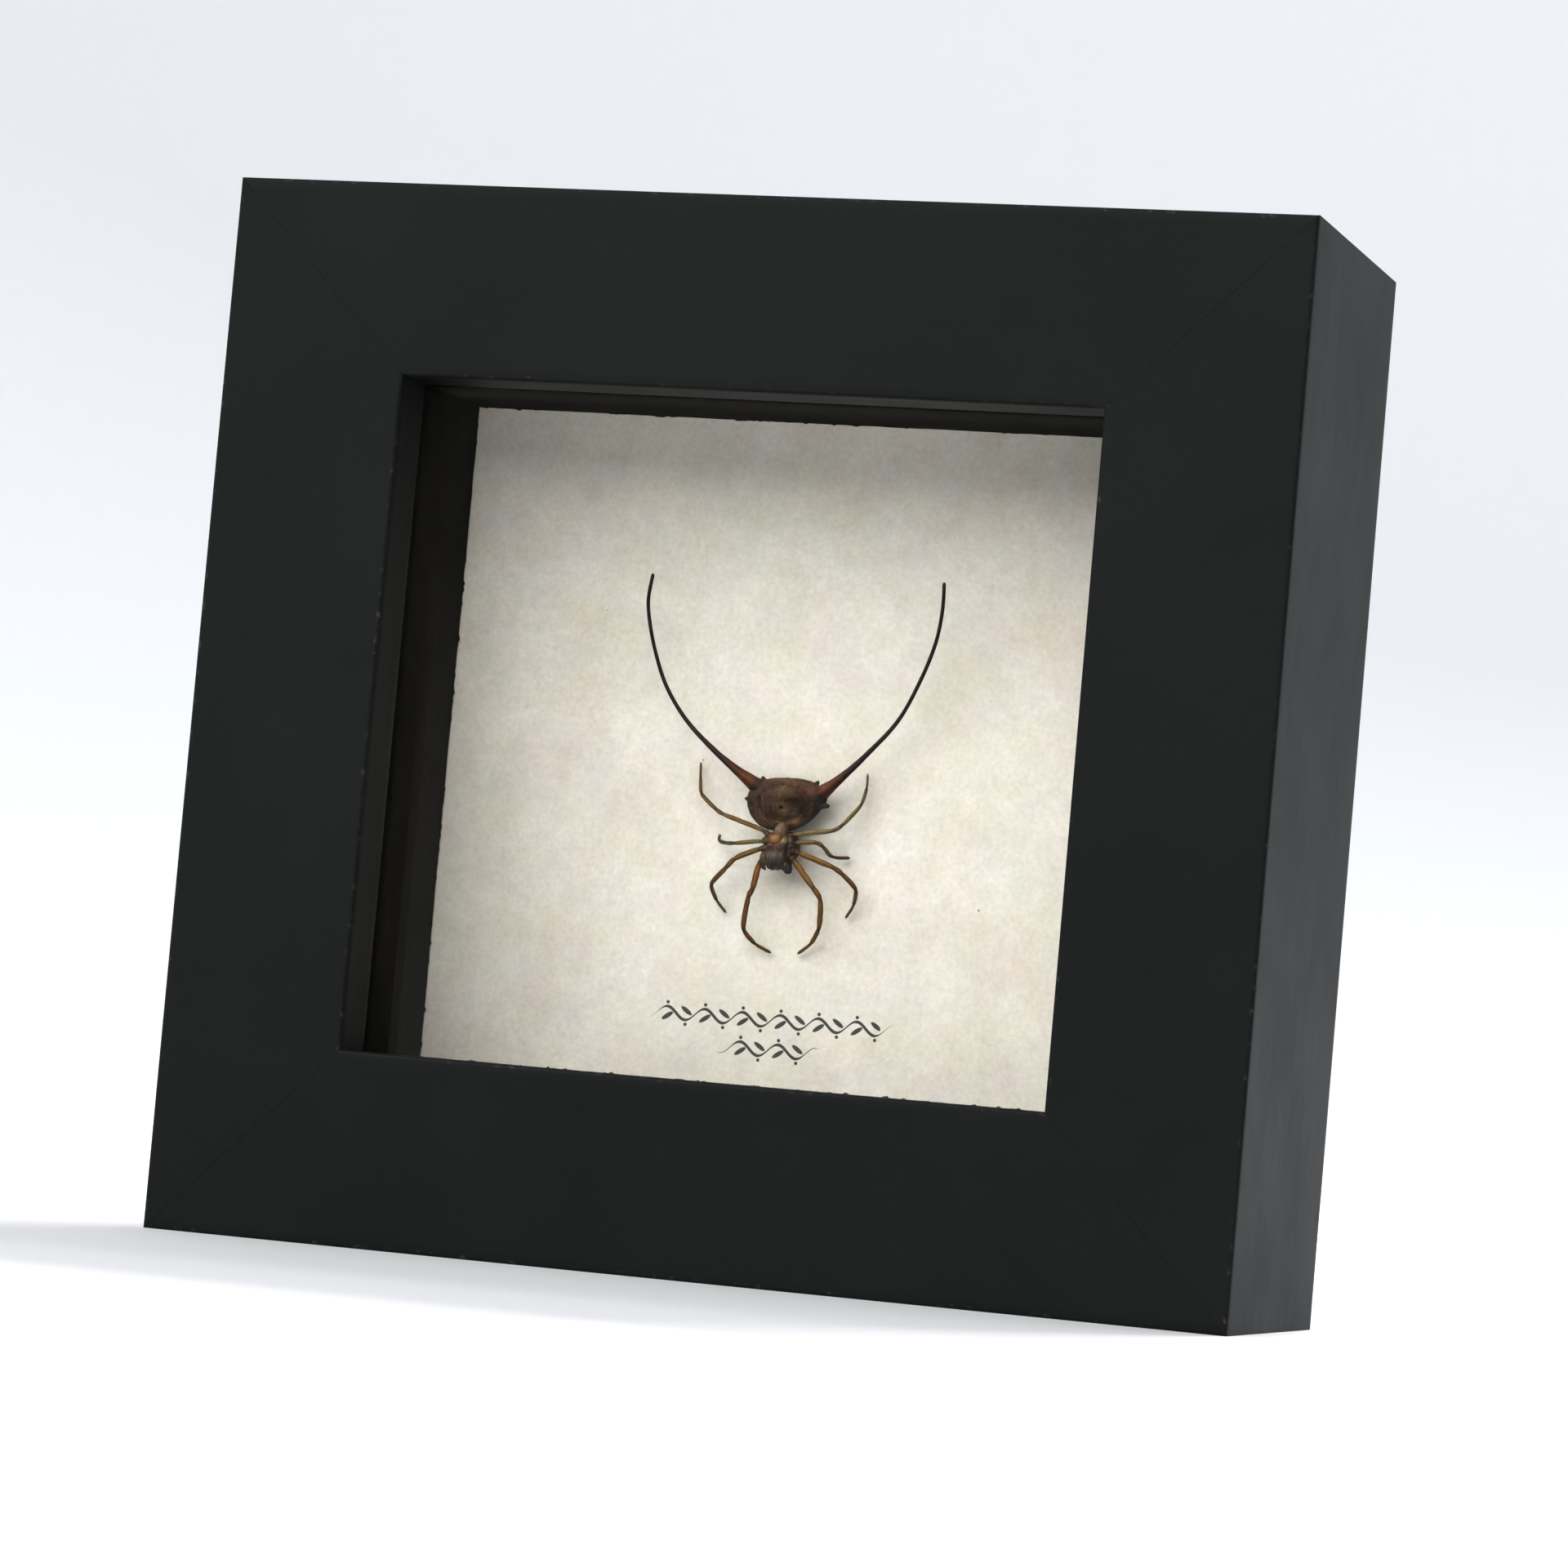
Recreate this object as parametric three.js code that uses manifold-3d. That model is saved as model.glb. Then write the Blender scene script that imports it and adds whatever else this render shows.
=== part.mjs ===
// Orb weaver spider with long curved spines, dried and fixed on a card in a deep black box frame.
// Millimetres, +Z up. The origin is on the surface that the frame stands on, under its centre,
// and the window faces -Y.
import * as THREE from 'three';
import { mergeVertices } from 'three/addons/utils/BufferGeometryUtils.js';
import Module from 'manifold-3d';

const wasm = await Module();
wasm.setup();

// Driving sizes of the frame
const frameWidth = 127;
const frameHeight = 121.5;
const frameDepth = 45;
const mouldingWidth = 22.2;
const lipDepth = 7.3;
const rabbetWidth = 8;

// Layers behind the lip, from the glass to the back panel
const glassThickness = 2;
const cardDistance = 26;
const cardThickness = 0.6;
const boardThickness = 10;
const panelThickness = 3;

// Clearances
const mitreGap = 0.07;
const layerGap = 0.2;
const edgeGap = 0.3;

// Places worked out from them
const frontY = -frameDepth / 2;
const centreZ = frameHeight / 2;
const windowWidth = frameWidth - 2 * mouldingWidth;
const windowHeight = frameHeight - 2 * mouldingWidth;
const packWidth = windowWidth + 2 * (rabbetWidth - edgeGap);
const packHeight = windowHeight + 2 * (rabbetWidth - edgeGap);
const glassY = frontY + lipDepth + layerGap;
const linerY = glassY + glassThickness + layerGap;
const cardY = frontY + cardDistance;
const linerDepth = cardY - layerGap - linerY;
const boardY = cardY + cardThickness + layerGap;
const panelY = boardY + boardThickness + layerGap;
const panelBackY = panelY + panelThickness;

// Finishes
const finish = (color, roughness, metalness = 0) =>
  new THREE.MeshStandardMaterial({ color, roughness, metalness });
const finishes = {
  blackPaint: finish(0x242626, 0.55),
  glass: new THREE.MeshStandardMaterial({ color: 0xf2f7f5, roughness: 0.05, transparent: true, opacity: 0.15 }),
  liner: finish(0x1e1d18, 0.9),
  card: finish(0xe8e2d4, 0.95),
  board: finish(0xdedad0, 0.9),
  panel: finish(0x8a6a48, 0.85),
  steel: finish(0xa8a8a4, 0.35, 1),
  cuticle: finish(0x4a3226, 0.4),
};

const group = new THREE.Group();

function addMesh(name, geometry, material) {
  const mesh = new THREE.Mesh(geometry, material);
  mesh.name = name;
  group.add(mesh);
}

// A closed geometry as a solid that can be joined and cut
function toSolid(geometry) {
  const bare = new THREE.BufferGeometry();
  bare.setAttribute('position', geometry.getAttribute('position'));
  if (geometry.index) bare.setIndex(geometry.index);
  const merged = mergeVertices(bare, 1e-4);
  return new wasm.Manifold(new wasm.Mesh({
    numProp: 3,
    vertProperties: new Float32Array(merged.getAttribute('position').array),
    triVerts: new Uint32Array(merged.index.array),
  }));
}

function toGeometry(solid) {
  const mesh = solid.getMesh();
  const geometry = new THREE.BufferGeometry();
  geometry.setAttribute('position', new THREE.BufferAttribute(new Float32Array(mesh.vertProperties), 3));
  geometry.setIndex(new THREE.BufferAttribute(new Uint32Array(mesh.triVerts), 1));
  geometry.computeVertexNormals();
  return geometry;
}

function join(geometries) {
  return toGeometry(geometries.map(toSolid).reduce((whole, solid) => whole.add(solid)));
}

// An outline drawn in the window's plane, about its centre, made as deep as depth from frontFace back
function layer(shape, frontFace, depth, turn = 0) {
  const geometry = new THREE.ExtrudeGeometry(shape, { depth, bevelEnabled: false });
  geometry.rotateZ(turn);
  geometry.rotateX(Math.PI / 2);
  geometry.translate(0, frontFace + depth, centreZ);
  return geometry;
}

function rectangle(width, height) {
  return new THREE.Shape([
    new THREE.Vector2(-width / 2, -height / 2),
    new THREE.Vector2(width / 2, -height / 2),
    new THREE.Vector2(width / 2, height / 2),
    new THREE.Vector2(-width / 2, height / 2),
  ]);
}

// The four sides of a mitred ring, each with its turn from the bottom one
const sides = [
  { name: 'bottom', turn: 0 },
  { name: 'right', turn: Math.PI / 2 },
  { name: 'top', turn: Math.PI },
  { name: 'left', turn: -Math.PI / 2 },
];

// One bar of a ring of the given outer size, with both ends cut at 45 degrees
function mitredBar(side, ringWidth, ringHeight, barWidth, frontFace, depth) {
  const upright = side.name === 'left' || side.name === 'right';
  const half = (upright ? ringHeight : ringWidth) / 2 - mitreGap;
  const reach = (upright ? ringWidth : ringHeight) / 2;
  const outline = new THREE.Shape([
    new THREE.Vector2(-half, -reach),
    new THREE.Vector2(half, -reach),
    new THREE.Vector2(half - barWidth, barWidth - reach),
    new THREE.Vector2(barWidth - half, barWidth - reach),
  ]);
  return layer(outline, frontFace, depth, side.turn);
}

// Rails: a full-width lip in front, and a narrower wall behind it that leaves the rabbet
function addRails() {
  const wallWidth = mouldingWidth - rabbetWidth;
  for (const side of sides) {
    const lip = mitredBar(side, frameWidth, frameHeight, mouldingWidth, frontY, lipDepth);
    const wall = mitredBar(side, frameWidth, frameHeight, wallWidth, frontY + lipDepth, frameDepth - lipDepth);
    addMesh(`rail_${side.name}`, join([lip, wall]), finishes.blackPaint);
  }
}

// Spacer strips between the glass and the card, flush with the lip's inner edge
function addLiners() {
  const thickness = rabbetWidth - edgeGap;
  for (const side of sides) {
    const strip = mitredBar(side, packWidth, packHeight, thickness, linerY, linerDepth);
    addMesh(`liner_${side.name}`, strip, finishes.liner);
  }
}

// Glass, card, mount board and back panel fill the rabbet one behind another
function addSheets() {
  const sheet = rectangle(packWidth, packHeight);
  addMesh('glass_pane', layer(sheet, glassY, glassThickness), finishes.glass);
  addMesh('card', layer(sheet, cardY, cardThickness), finishes.card);
  addMesh('mount_board', layer(sheet, boardY, boardThickness), finishes.board);
  addMesh('back_panel', layer(sheet, panelY, panelThickness), finishes.panel);
}

// Steel points driven in from the rabbet's wall, two on each side, that hold the back panel
const pointLength = 9;
const pointShoulder = 5.4;
const pointWidth = 6;
const pointThickness = 0.6;
const pointSpacing = 46;

function addPoints() {
  const pointY = panelBackY + layerGap;
  sides.forEach((side, index) => {
    const wall = (side.name === 'left' || side.name === 'right' ? packWidth : packHeight) / 2;
    [-1, 1].forEach((end, order) => {
      const middle = end * pointSpacing / 2;
      const outline = new THREE.Shape([
        new THREE.Vector2(middle - pointWidth / 2, -wall),
        new THREE.Vector2(middle + pointWidth / 2, -wall),
        new THREE.Vector2(middle + pointWidth / 2, pointShoulder - wall),
        new THREE.Vector2(middle, pointLength - wall),
        new THREE.Vector2(middle - pointWidth / 2, pointShoulder - wall),
      ]);
      const geometry = layer(outline, pointY, pointThickness, side.turn);
      addMesh(`point_${2 * index + order + 1}`, geometry, finishes.steel);
    });
  });
}

// Sawtooth hanger: a toothed strip that stands off the back panel on its two ends
const hangerLength = 44;
const hangerHeight = 9;
const hangerThickness = 0.8;
const hangerStandOff = 2;
const hangerFoot = 6;
const hangerRise = 28;
const toothCount = 12;
const toothDepth = 2;

function addHanger() {
  const bottom = hangerRise - hangerHeight / 2;
  const top = hangerRise + hangerHeight / 2;
  const half = hangerLength / 2;
  const toothedHalf = half - hangerFoot;
  const pitch = 2 * toothedHalf / toothCount;
  const strip = new THREE.Shape();
  strip.moveTo(half, bottom);
  strip.lineTo(half, top);
  strip.lineTo(-half, top);
  strip.lineTo(-half, bottom);
  for (let tooth = 0; tooth < toothCount; tooth++) {
    const start = -toothedHalf + tooth * pitch;
    strip.lineTo(start, bottom);
    strip.lineTo(start + pitch / 2, bottom + toothDepth);
  }
  strip.lineTo(toothedHalf, bottom);
  const footY = panelBackY + layerGap;
  const pieces = [layer(strip, footY + hangerStandOff, hangerThickness)];
  for (const end of [-1, 1]) {
    const foot = rectangle(hangerFoot, hangerHeight);
    const geometry = layer(foot, footY, hangerStandOff + hangerThickness / 2);
    geometry.translate(end * (half - hangerFoot / 2), 0, hangerRise);
    pieces.push(geometry);
  }
  addMesh('hanger', join(pieces), finishes.steel);
}

// The spider's points are [right, up, lift] from the card's centre, with lift measured off the card

// A closed tube along points, whose radius is a function of the share of its length
function taperedTube(points, radiusAt, steps, tubeSides) {
  const curve = new THREE.CatmullRomCurve3(points.map((p) => new THREE.Vector3(...p)), false, 'centripetal');
  const frames = curve.computeFrenetFrames(steps, false);
  const positions = [];
  const indices = [];
  for (let i = 0; i <= steps; i++) {
    const centre = curve.getPointAt(i / steps);
    for (let j = 0; j < tubeSides; j++) {
      const angle = (2 * Math.PI * j) / tubeSides;
      const vertex = centre.clone()
        .addScaledVector(frames.normals[i], Math.cos(angle) * radiusAt(i / steps))
        .addScaledVector(frames.binormals[i], Math.sin(angle) * radiusAt(i / steps));
      positions.push(vertex.x, vertex.y, vertex.z);
    }
  }
  for (let i = 0; i < steps; i++) {
    for (let j = 0; j < tubeSides; j++) {
      const a = i * tubeSides + j;
      const b = i * tubeSides + (j + 1) % tubeSides;
      indices.push(a, b, a + tubeSides, b, b + tubeSides, a + tubeSides);
    }
  }
  [[0, curve.getPointAt(0), true], [steps, curve.getPointAt(1), false]].forEach(([ring, centre, first]) => {
    const middle = positions.length / 3;
    positions.push(centre.x, centre.y, centre.z);
    for (let j = 0; j < tubeSides; j++) {
      const a = ring * tubeSides + j;
      const b = ring * tubeSides + (j + 1) % tubeSides;
      indices.push(...(first ? [b, a, middle] : [a, b, middle]));
    }
  });
  const geometry = new THREE.BufferGeometry();
  geometry.setAttribute('position', new THREE.Float32BufferAttribute(positions, 3));
  geometry.setIndex(indices);
  return geometry;
}

function ellipsoid(centre, radii, turn = 0) {
  const geometry = new THREE.SphereGeometry(1, 20, 12);
  geometry.scale(...radii);
  geometry.rotateZ(turn);
  geometry.translate(...centre);
  return geometry;
}

// Abdomen: a shield seen from below, widest at the shoulders that carry the long spines,
// with a soft bulge that rises to the spinneret
const abdomenCentre = [1.75, -5.7];
const abdomenEdgeLift = 2.6;
const abdomenBackDepth = 2.3;
const abdomenFrontDepth = 1.1;
const bulgeHeight = 2.6;
const bulgeReach = 0.74;
const shieldHalf = [
  [0, 3.15], [2.2, 3], [3.8, 2.5], [5.2, 1.3], [4.85, -0.2], [3.55, -2.1], [1.9, -3], [0, -3.3],
];

function abdomenShell() {
  const mirrored = shieldHalf.slice(1, -1).reverse().map(([x, y]) => [-x, y]);
  const outline = new THREE.CatmullRomCurve3(
    [...shieldHalf, ...mirrored].map(([x, y]) => new THREE.Vector3(x, y, 0)), true, 'centripetal');
  const around = 40;
  const across = 20;
  const positions = [];
  const indices = [];
  for (let i = 1; i < across; i++) {
    const slope = Math.PI * (i / across - 0.5);
    const reach = Math.cos(slope);
    const bulge = Math.max(0, 1 - (reach / bulgeReach) ** 2) ** 2;
    const lift = slope > 0
      ? abdomenEdgeLift + abdomenFrontDepth * Math.sin(slope) + bulgeHeight * bulge
      : abdomenEdgeLift + abdomenBackDepth * Math.sin(slope);
    for (let j = 0; j < around; j++) {
      const edge = outline.getPoint(j / around);
      positions.push(abdomenCentre[0] + edge.x * reach, abdomenCentre[1] + edge.y * reach, lift);
    }
  }
  const back = positions.length / 3;
  positions.push(...abdomenCentre, abdomenEdgeLift - abdomenBackDepth);
  positions.push(...abdomenCentre, abdomenEdgeLift + abdomenFrontDepth + bulgeHeight);
  for (let j = 0; j < around; j++) {
    const next = (j + 1) % around;
    for (let i = 0; i < across - 2; i++) {
      const a = i * around + j;
      const b = i * around + next;
      indices.push(a, a + around, b, b, a + around, b + around);
    }
    const last = (across - 2) * around;
    indices.push(j, next, back, last + next, last + j, back + 1);
  }
  const geometry = new THREE.BufferGeometry();
  geometry.setAttribute('position', new THREE.Float32BufferAttribute(positions, 3));
  geometry.setIndex(indices);
  return geometry;
}

// Long spines, from the shoulder to the tip
const longSpines = [
  [[-1.6, -4.4, 2.7], [-2.7, -3.6, 3], [-4.6, -2.3, 3.4], [-7, -0.5, 3.8], [-10.6, 2.8, 4.4], [-13.2, 6.5, 5],
    [-14.7, 10.3, 5.6], [-15.5, 13.7, 6.3], [-15.8, 16.3, 6.7], [-15.4, 19.4, 7]],
  [[5.2, -4.8, 2.7], [6.4, -4, 3], [8.4, -2.4, 3.4], [11.3, 0.4, 3.8], [14.8, 4.4, 4.4], [17.2, 9, 5.1],
    [18.9, 13.5, 5.9], [19.55, 17.1, 6.6], [19.6, 20.3, 7]],
];

// Short spines at the rear edge and on the flanks
const shortSpines = [
  [[-0.8, -4, 2.6], [-1.5, -2.9, 2.5]],
  [[4.7, -4, 2.6], [5.4, -3, 2.5]],
  [[-1.8, -5.7, 2.6], [-3.4, -5.6, 2.5]],
  [[5.6, -5.8, 2.6], [7, -5.8, 2.5]],
];

const longSpineRadius = (t) => (0.17 + 0.04 * (1 - t) + 1.05 * Math.exp(-t / 0.085)) * (t > 0.985 ? 0.4 : 1);
const shortSpineRadius = (t) => 0.75 - 0.6 * t;

// Spinneret: a low cone on the bulge with a round hole in its top
const spinneretCentre = [2.1, -6.4, 6.1];
const spinneretBase = { radius: 1, below: 0.8 };
const spinneretRim = { radius: 0.55, above: 0.35 };
const spinneretHole = { topRadius: 0.28, floorRadius: 0.22, below: 0.35 };

function spinneret() {
  const cone = new THREE.LatheGeometry([
    new THREE.Vector2(0, -spinneretBase.below),
    new THREE.Vector2(spinneretBase.radius, -spinneretBase.below),
    new THREE.Vector2(spinneretRim.radius, spinneretRim.above),
    new THREE.Vector2(spinneretHole.topRadius, spinneretRim.above),
    new THREE.Vector2(spinneretHole.floorRadius, -spinneretHole.below),
    new THREE.Vector2(0, -spinneretHole.below),
  ], 16);
  cone.rotateX(Math.PI / 2);
  cone.translate(...spinneretCentre);
  return cone;
}

// Legs, each from its hip through its joints to the claw, the right ones first and from front to rear
const legs = [
  [[2.6, -11.8, 2.9], [3.4, -12.4, 3.1], [6.2, -15.4, 3.6], [7.05, -16.5, 3.3], [6.85, -19.9, 2.1],
    [5.75, -21.7, 1.2], [4, -23, 0.6]],
  [[3, -11.2, 2.9], [4, -11.5, 3.1], [8.5, -12.9, 3.6], [9.4, -13.5, 3.3], [10.9, -15.1, 2.2],
    [10.5, -16.9, 1.3], [9.4, -18.5, 0.6]],
  [[2.6, -10.4, 2.9], [3.4, -10.3, 3], [6, -10.1, 3.1], [6.7, -10.5, 2.9], [7.5, -11.6, 1.9], [9.4, -11.5, 0.7]],
  [[2, -10, 2.9], [3, -9.4, 3], [8.1, -8.6, 3.5], [8.8, -8, 3.2], [10.6, -5.4, 2.1],
    [10.8, -3.4, 1.2], [10.6, -1.6, 0.6]],
  [[0.2, -12.2, 2.9], [-0.7, -13, 3.1], [-1.1, -16, 3.6], [-1.6, -16.8, 3.3], [-2.3, -20.7, 2.1],
    [-1.05, -22.2, 1.2], [0.9, -23.1, 0.6]],
  [[0.2, -11.2, 2.9], [-0.8, -11.3, 3.1], [-3.7, -12.7, 3.5], [-4.6, -13.7, 3.2], [-6.7, -15.8, 2.1],
    [-6.15, -17.5, 1.2], [-5, -18.9, 0.6]],
  [[0.2, -10.5, 2.9], [-0.6, -10.4, 3], [-4.1, -10.9, 3], [-5.2, -10.9, 2.6], [-6.2, -10.7, 2], [-6.5, -9.9, 0.9]],
  [[0.6, -10, 2.9], [-0.5, -9.2, 3.1], [-5.6, -7.6, 3.6], [-6.4, -7.2, 3.3], [-8.8, -5.4, 2.2],
    [-9.4, -3.4, 1.2], [-9.7, -1.6, 0.6]],
];

// Leg segments between those points: greatest radius, how much it narrows at each end,
// and how far from a joint the bend starts
const legSegmentRadii = [0.5, 0.42, 0.29, 0.28, 0.2, 0.16];
const jointPinch = 0.28;
const kneeBend = 0.3;

// The points of a jointed limb, with each inner point parted into the start and end of a short bend
function softenJoints(points) {
  const path = points.map((p) => new THREE.Vector3(...p));
  const softened = [path[0]];
  for (let i = 1; i < path.length - 1; i++) {
    for (const neighbour of [path[i - 1], path[i + 1]]) {
      const away = neighbour.clone().sub(path[i]).setLength(kneeBend);
      softened.push(path[i].clone().add(away));
    }
  }
  softened.push(path[path.length - 1]);
  return softened.map((v) => v.toArray());
}

function leg(points) {
  const lengths = points.slice(1).map((p, i) => Math.hypot(...p.map((value, axis) => value - points[i][axis])));
  const total = lengths.reduce((sum, length) => sum + length);
  const radiusAt = (t) => {
    let along = t * total;
    let segment = 0;
    while (segment < lengths.length - 1 && along > lengths[segment]) {
      along -= lengths[segment];
      segment += 1;
    }
    const fromMiddle = Math.abs(2 * along / lengths[segment] - 1);
    const clawTaper = t > 0.98 ? 0.5 : 1;
    return legSegmentRadii[segment] * (1 - jointPinch * Math.min(1, fromMiddle) ** 4) * clawTaper;
  };
  return taperedTube(softenJoints(points), radiusAt, 26, 8);
}

// Rounded masses of the head and chest, each with its centre, its radii and its turn
const masses = {
  chest: { centre: [1.5, -10.9, 2.3], radii: [1.9, 2.1, 1.9] },
  breastPlate: { centre: [1.35, -10.2, 3.4], radii: [1.15, 1.15, 1] },
  head: { centre: [1.3, -12.4, 2.9], radii: [1.75, 1.6, 1.7] },
  leftJaw: { centre: [0.85, -13.4, 3.1], radii: [0.72, 0.85, 0.9], turn: 0.15 },
  rightJaw: { centre: [2.05, -13.3, 2.9], radii: [0.72, 0.85, 0.9], turn: -0.15 },
};

// Palps beside the jaws, and the narrow waist between the chest and the abdomen
const palps = [
  { points: [[2.6, -12.4, 3], [2.9, -13.2, 3.1], [2.6, -14, 2.7]], radius: 0.5 },
  { points: [[0.1, -12.4, 3], [-0.3, -13.1, 3.1], [0, -13.9, 2.7]], radius: 0.42 },
];
const palpTaper = 0.1;
const waistPoints = [[1.6, -7.8, 3.4], [1.6, -8.8, 3.4], [1.5, -9.8, 3.3]];
const waistRadius = 0.6;

function headAndChest() {
  return [
    ...Object.values(masses).map(({ centre, radii, turn }) => ellipsoid(centre, radii, turn)),
    ...palps.map(({ points, radius }) => taperedTube(points, (t) => radius - palpTaper * t, 6, 8)),
    taperedTube(waistPoints, () => waistRadius, 4, 10),
  ];
}

function addSpider() {
  const pieces = [
    abdomenShell(),
    spinneret(),
    ...longSpines.map((points) => taperedTube(points, longSpineRadius, 44, 8)),
    ...shortSpines.map((points) => taperedTube(points, shortSpineRadius, 3, 8)),
    ...headAndChest(),
    ...legs.map(leg),
  ];
  const spider = join(pieces);
  spider.rotateX(Math.PI / 2);
  spider.translate(0, cardY, centreZ);
  addMesh('spider', spider, finishes.cuticle);
}

addRails();
addLiners();
addSheets();
addPoints();
addHanger();
addSpider();

export default group;
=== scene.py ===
"""Looks of a dried orb weaver spider in a deep black box frame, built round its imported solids.

Shape functions work in millimetres and put() turns them into metres. Two frames are used: the part's own,
+Z up with the window facing -Y, and the card's, [right, up, lift] from the middle of the card's face.
on_card() turns the second into the first. A surface is a grid of points worked out as whole arrays, with
its ends closed.
"""
import math

import bpy
import numpy as np
from mathutils import Matrix, Vector


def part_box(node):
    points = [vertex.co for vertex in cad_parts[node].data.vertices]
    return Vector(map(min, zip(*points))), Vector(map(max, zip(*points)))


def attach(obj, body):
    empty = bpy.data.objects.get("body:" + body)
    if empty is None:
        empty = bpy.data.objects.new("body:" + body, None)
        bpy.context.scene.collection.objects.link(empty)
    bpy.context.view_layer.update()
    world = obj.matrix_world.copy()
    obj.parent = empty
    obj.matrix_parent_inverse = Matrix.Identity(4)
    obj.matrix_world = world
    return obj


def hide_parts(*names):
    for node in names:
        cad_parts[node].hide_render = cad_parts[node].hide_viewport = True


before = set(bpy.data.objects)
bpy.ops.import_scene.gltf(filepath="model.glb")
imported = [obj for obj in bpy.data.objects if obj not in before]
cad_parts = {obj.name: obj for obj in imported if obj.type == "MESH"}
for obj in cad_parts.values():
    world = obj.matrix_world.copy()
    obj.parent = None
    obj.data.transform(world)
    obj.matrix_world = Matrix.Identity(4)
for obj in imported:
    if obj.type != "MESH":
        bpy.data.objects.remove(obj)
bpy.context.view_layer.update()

bl_info = {
    "name": "Framed orb weaver spider",
    "version": (1, 0, 0),
    "blender": (4, 5, 0),
    "location": "3D View > Sidebar > Specimen",
    "description": "Builds the looks of a dried spider in a deep black box frame",
    "category": "Object",
}

MM = 0.001
SIDES = ("bottom", "right", "top", "left")
LAYER_GAP = 0.2
EDGE_GAP = 0.3


def box_mm(node):
    """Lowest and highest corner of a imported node, in millimetres."""
    low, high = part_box(node)
    return np.array(low) / MM, np.array(high) / MM


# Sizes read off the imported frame
LEFT_LOW = box_mm("rail_left")[0]
BOTTOM_LOW, BOTTOM_HIGH = box_mm("rail_bottom")
GLASS_LOW, GLASS_HIGH = box_mm("glass_pane")
LINER_LOW, LINER_HIGH = box_mm("liner_bottom")
CARD_LOW, CARD_HIGH = box_mm("card")
PANEL_LOW, PANEL_HIGH = box_mm("back_panel")
HANGER_LOW, HANGER_HIGH = box_mm("hanger")
FRAME_WIDTH = -2 * LEFT_LOW[0]
FRAME_HEIGHT = 2 * CARD_HIGH[2] - 2 * BOTTOM_LOW[2] - (CARD_HIGH - CARD_LOW)[2]
FRONT_Y, BACK_Y = BOTTOM_LOW[1], BOTTOM_HIGH[1]
CENTRE_Z = (CARD_LOW[2] + CARD_HIGH[2]) / 2
MOULDING_WIDTH = (BOTTOM_HIGH - BOTTOM_LOW)[2]
LIP_DEPTH = GLASS_LOW[1] - LAYER_GAP - FRONT_Y
RABBET_WIDTH = GLASS_HIGH[0] - (FRAME_WIDTH / 2 - MOULDING_WIDTH) + EDGE_GAP
SHEET_WIDTH = 2 * CARD_HIGH[0]
SHEET_HEIGHT = (CARD_HIGH - CARD_LOW)[2]


def srgb(red, green, blue):
    """A colour as seen on a screen, 0 to 255, as the linear values that Blender takes."""
    values = np.array([red, green, blue]) / 255
    return tuple(np.where(values <= 0.04045, values / 12.92, ((values + 0.055) / 1.055) ** 2.4))


# How the stage lights the cuticle: the shine that it adds, its gain, and the darkest colour that is kept
STAGE_SHINE = (0.01, 0.012, 0.015)
STAGE_GAIN = 1.8
DARKEST = 0.0008


def as_lit(screen):
    """The cuticle's own colour that looks like the given linear colour under the stage's light."""
    return np.clip((np.asarray(screen, float) - STAGE_SHINE) / STAGE_GAIN, DARKEST, 1)


def scaled(tint, factor):
    """A colour made darker or lighter."""
    return tuple(factor * c for c in tint)


def length(name, description, millimetres):
    """A length property with its default in millimetres."""
    return bpy.props.FloatProperty(name=name, description=description, default=millimetres * MM, min=0,
                                   subtype="DISTANCE", unit="LENGTH", precision=5)


def share(name, description, value):
    """A property from 0 to 1."""
    return bpy.props.FloatProperty(name=name, description=description, default=value, min=0, max=1,
                                   subtype="FACTOR")


def watts(name, description, value):
    """A property for the power of a light."""
    return bpy.props.FloatProperty(name=name, description=description, default=value, min=0,
                                   subtype="POWER", unit="POWER")


def colour(name, description, *screen):
    """A colour property with its default as seen on a screen."""
    return bpy.props.FloatVectorProperty(name=name, description=description, default=srgb(*screen), size=3,
                                         min=0, max=1, subtype="COLOR")


class SpecimenFrameSettings(bpy.types.PropertyGroup):
    """Sizes and colours of the frame and its layers."""
    edge_radius: length("Edge radius", "Softening of the rail's edges under the paint", 0.45)
    back_radius: length("Back edge radius", "Rounding of the outer edge at the back", 1.5)
    wall_unevenness: length("Wall unevenness", "How far the liner's face waves in and out", 0.06)
    ragged_edge: length("Ragged edge", "Largest crumb of liner that reaches over the card's edge", 0.22)
    card_cockle: length("Card cockle", "How far the card's face waves in and out", 0.06)
    edge_wear: share("Edge wear", "How much of the paint is rubbed thin along the edges", 0.35)
    paint: colour("Paint", "Satin black paint of the rails", 20, 21, 21)
    worn_paint: colour("Worn paint", "Paint where it is rubbed thin along an edge", 52, 51, 48)
    liner: colour("Liner", "Dark strips between glass and card", 25, 24, 19)
    card: colour("Card", "Cream paper behind the spider", 251, 246, 234)
    card_blotch: colour("Card blotches", "Soft olive grey blotches in the paper", 198, 190, 168)
    ink: colour("Ink", "Pen ornament under the spider", 26, 27, 32)
    board: colour("Mount board", "Pale board behind the card", 222, 218, 208)
    panel: colour("Back panel", "Bare fibreboard that closes the back", 128, 94, 62)
    steel: colour("Steel", "Framing points, hanger and nails", 176, 174, 168)


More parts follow.
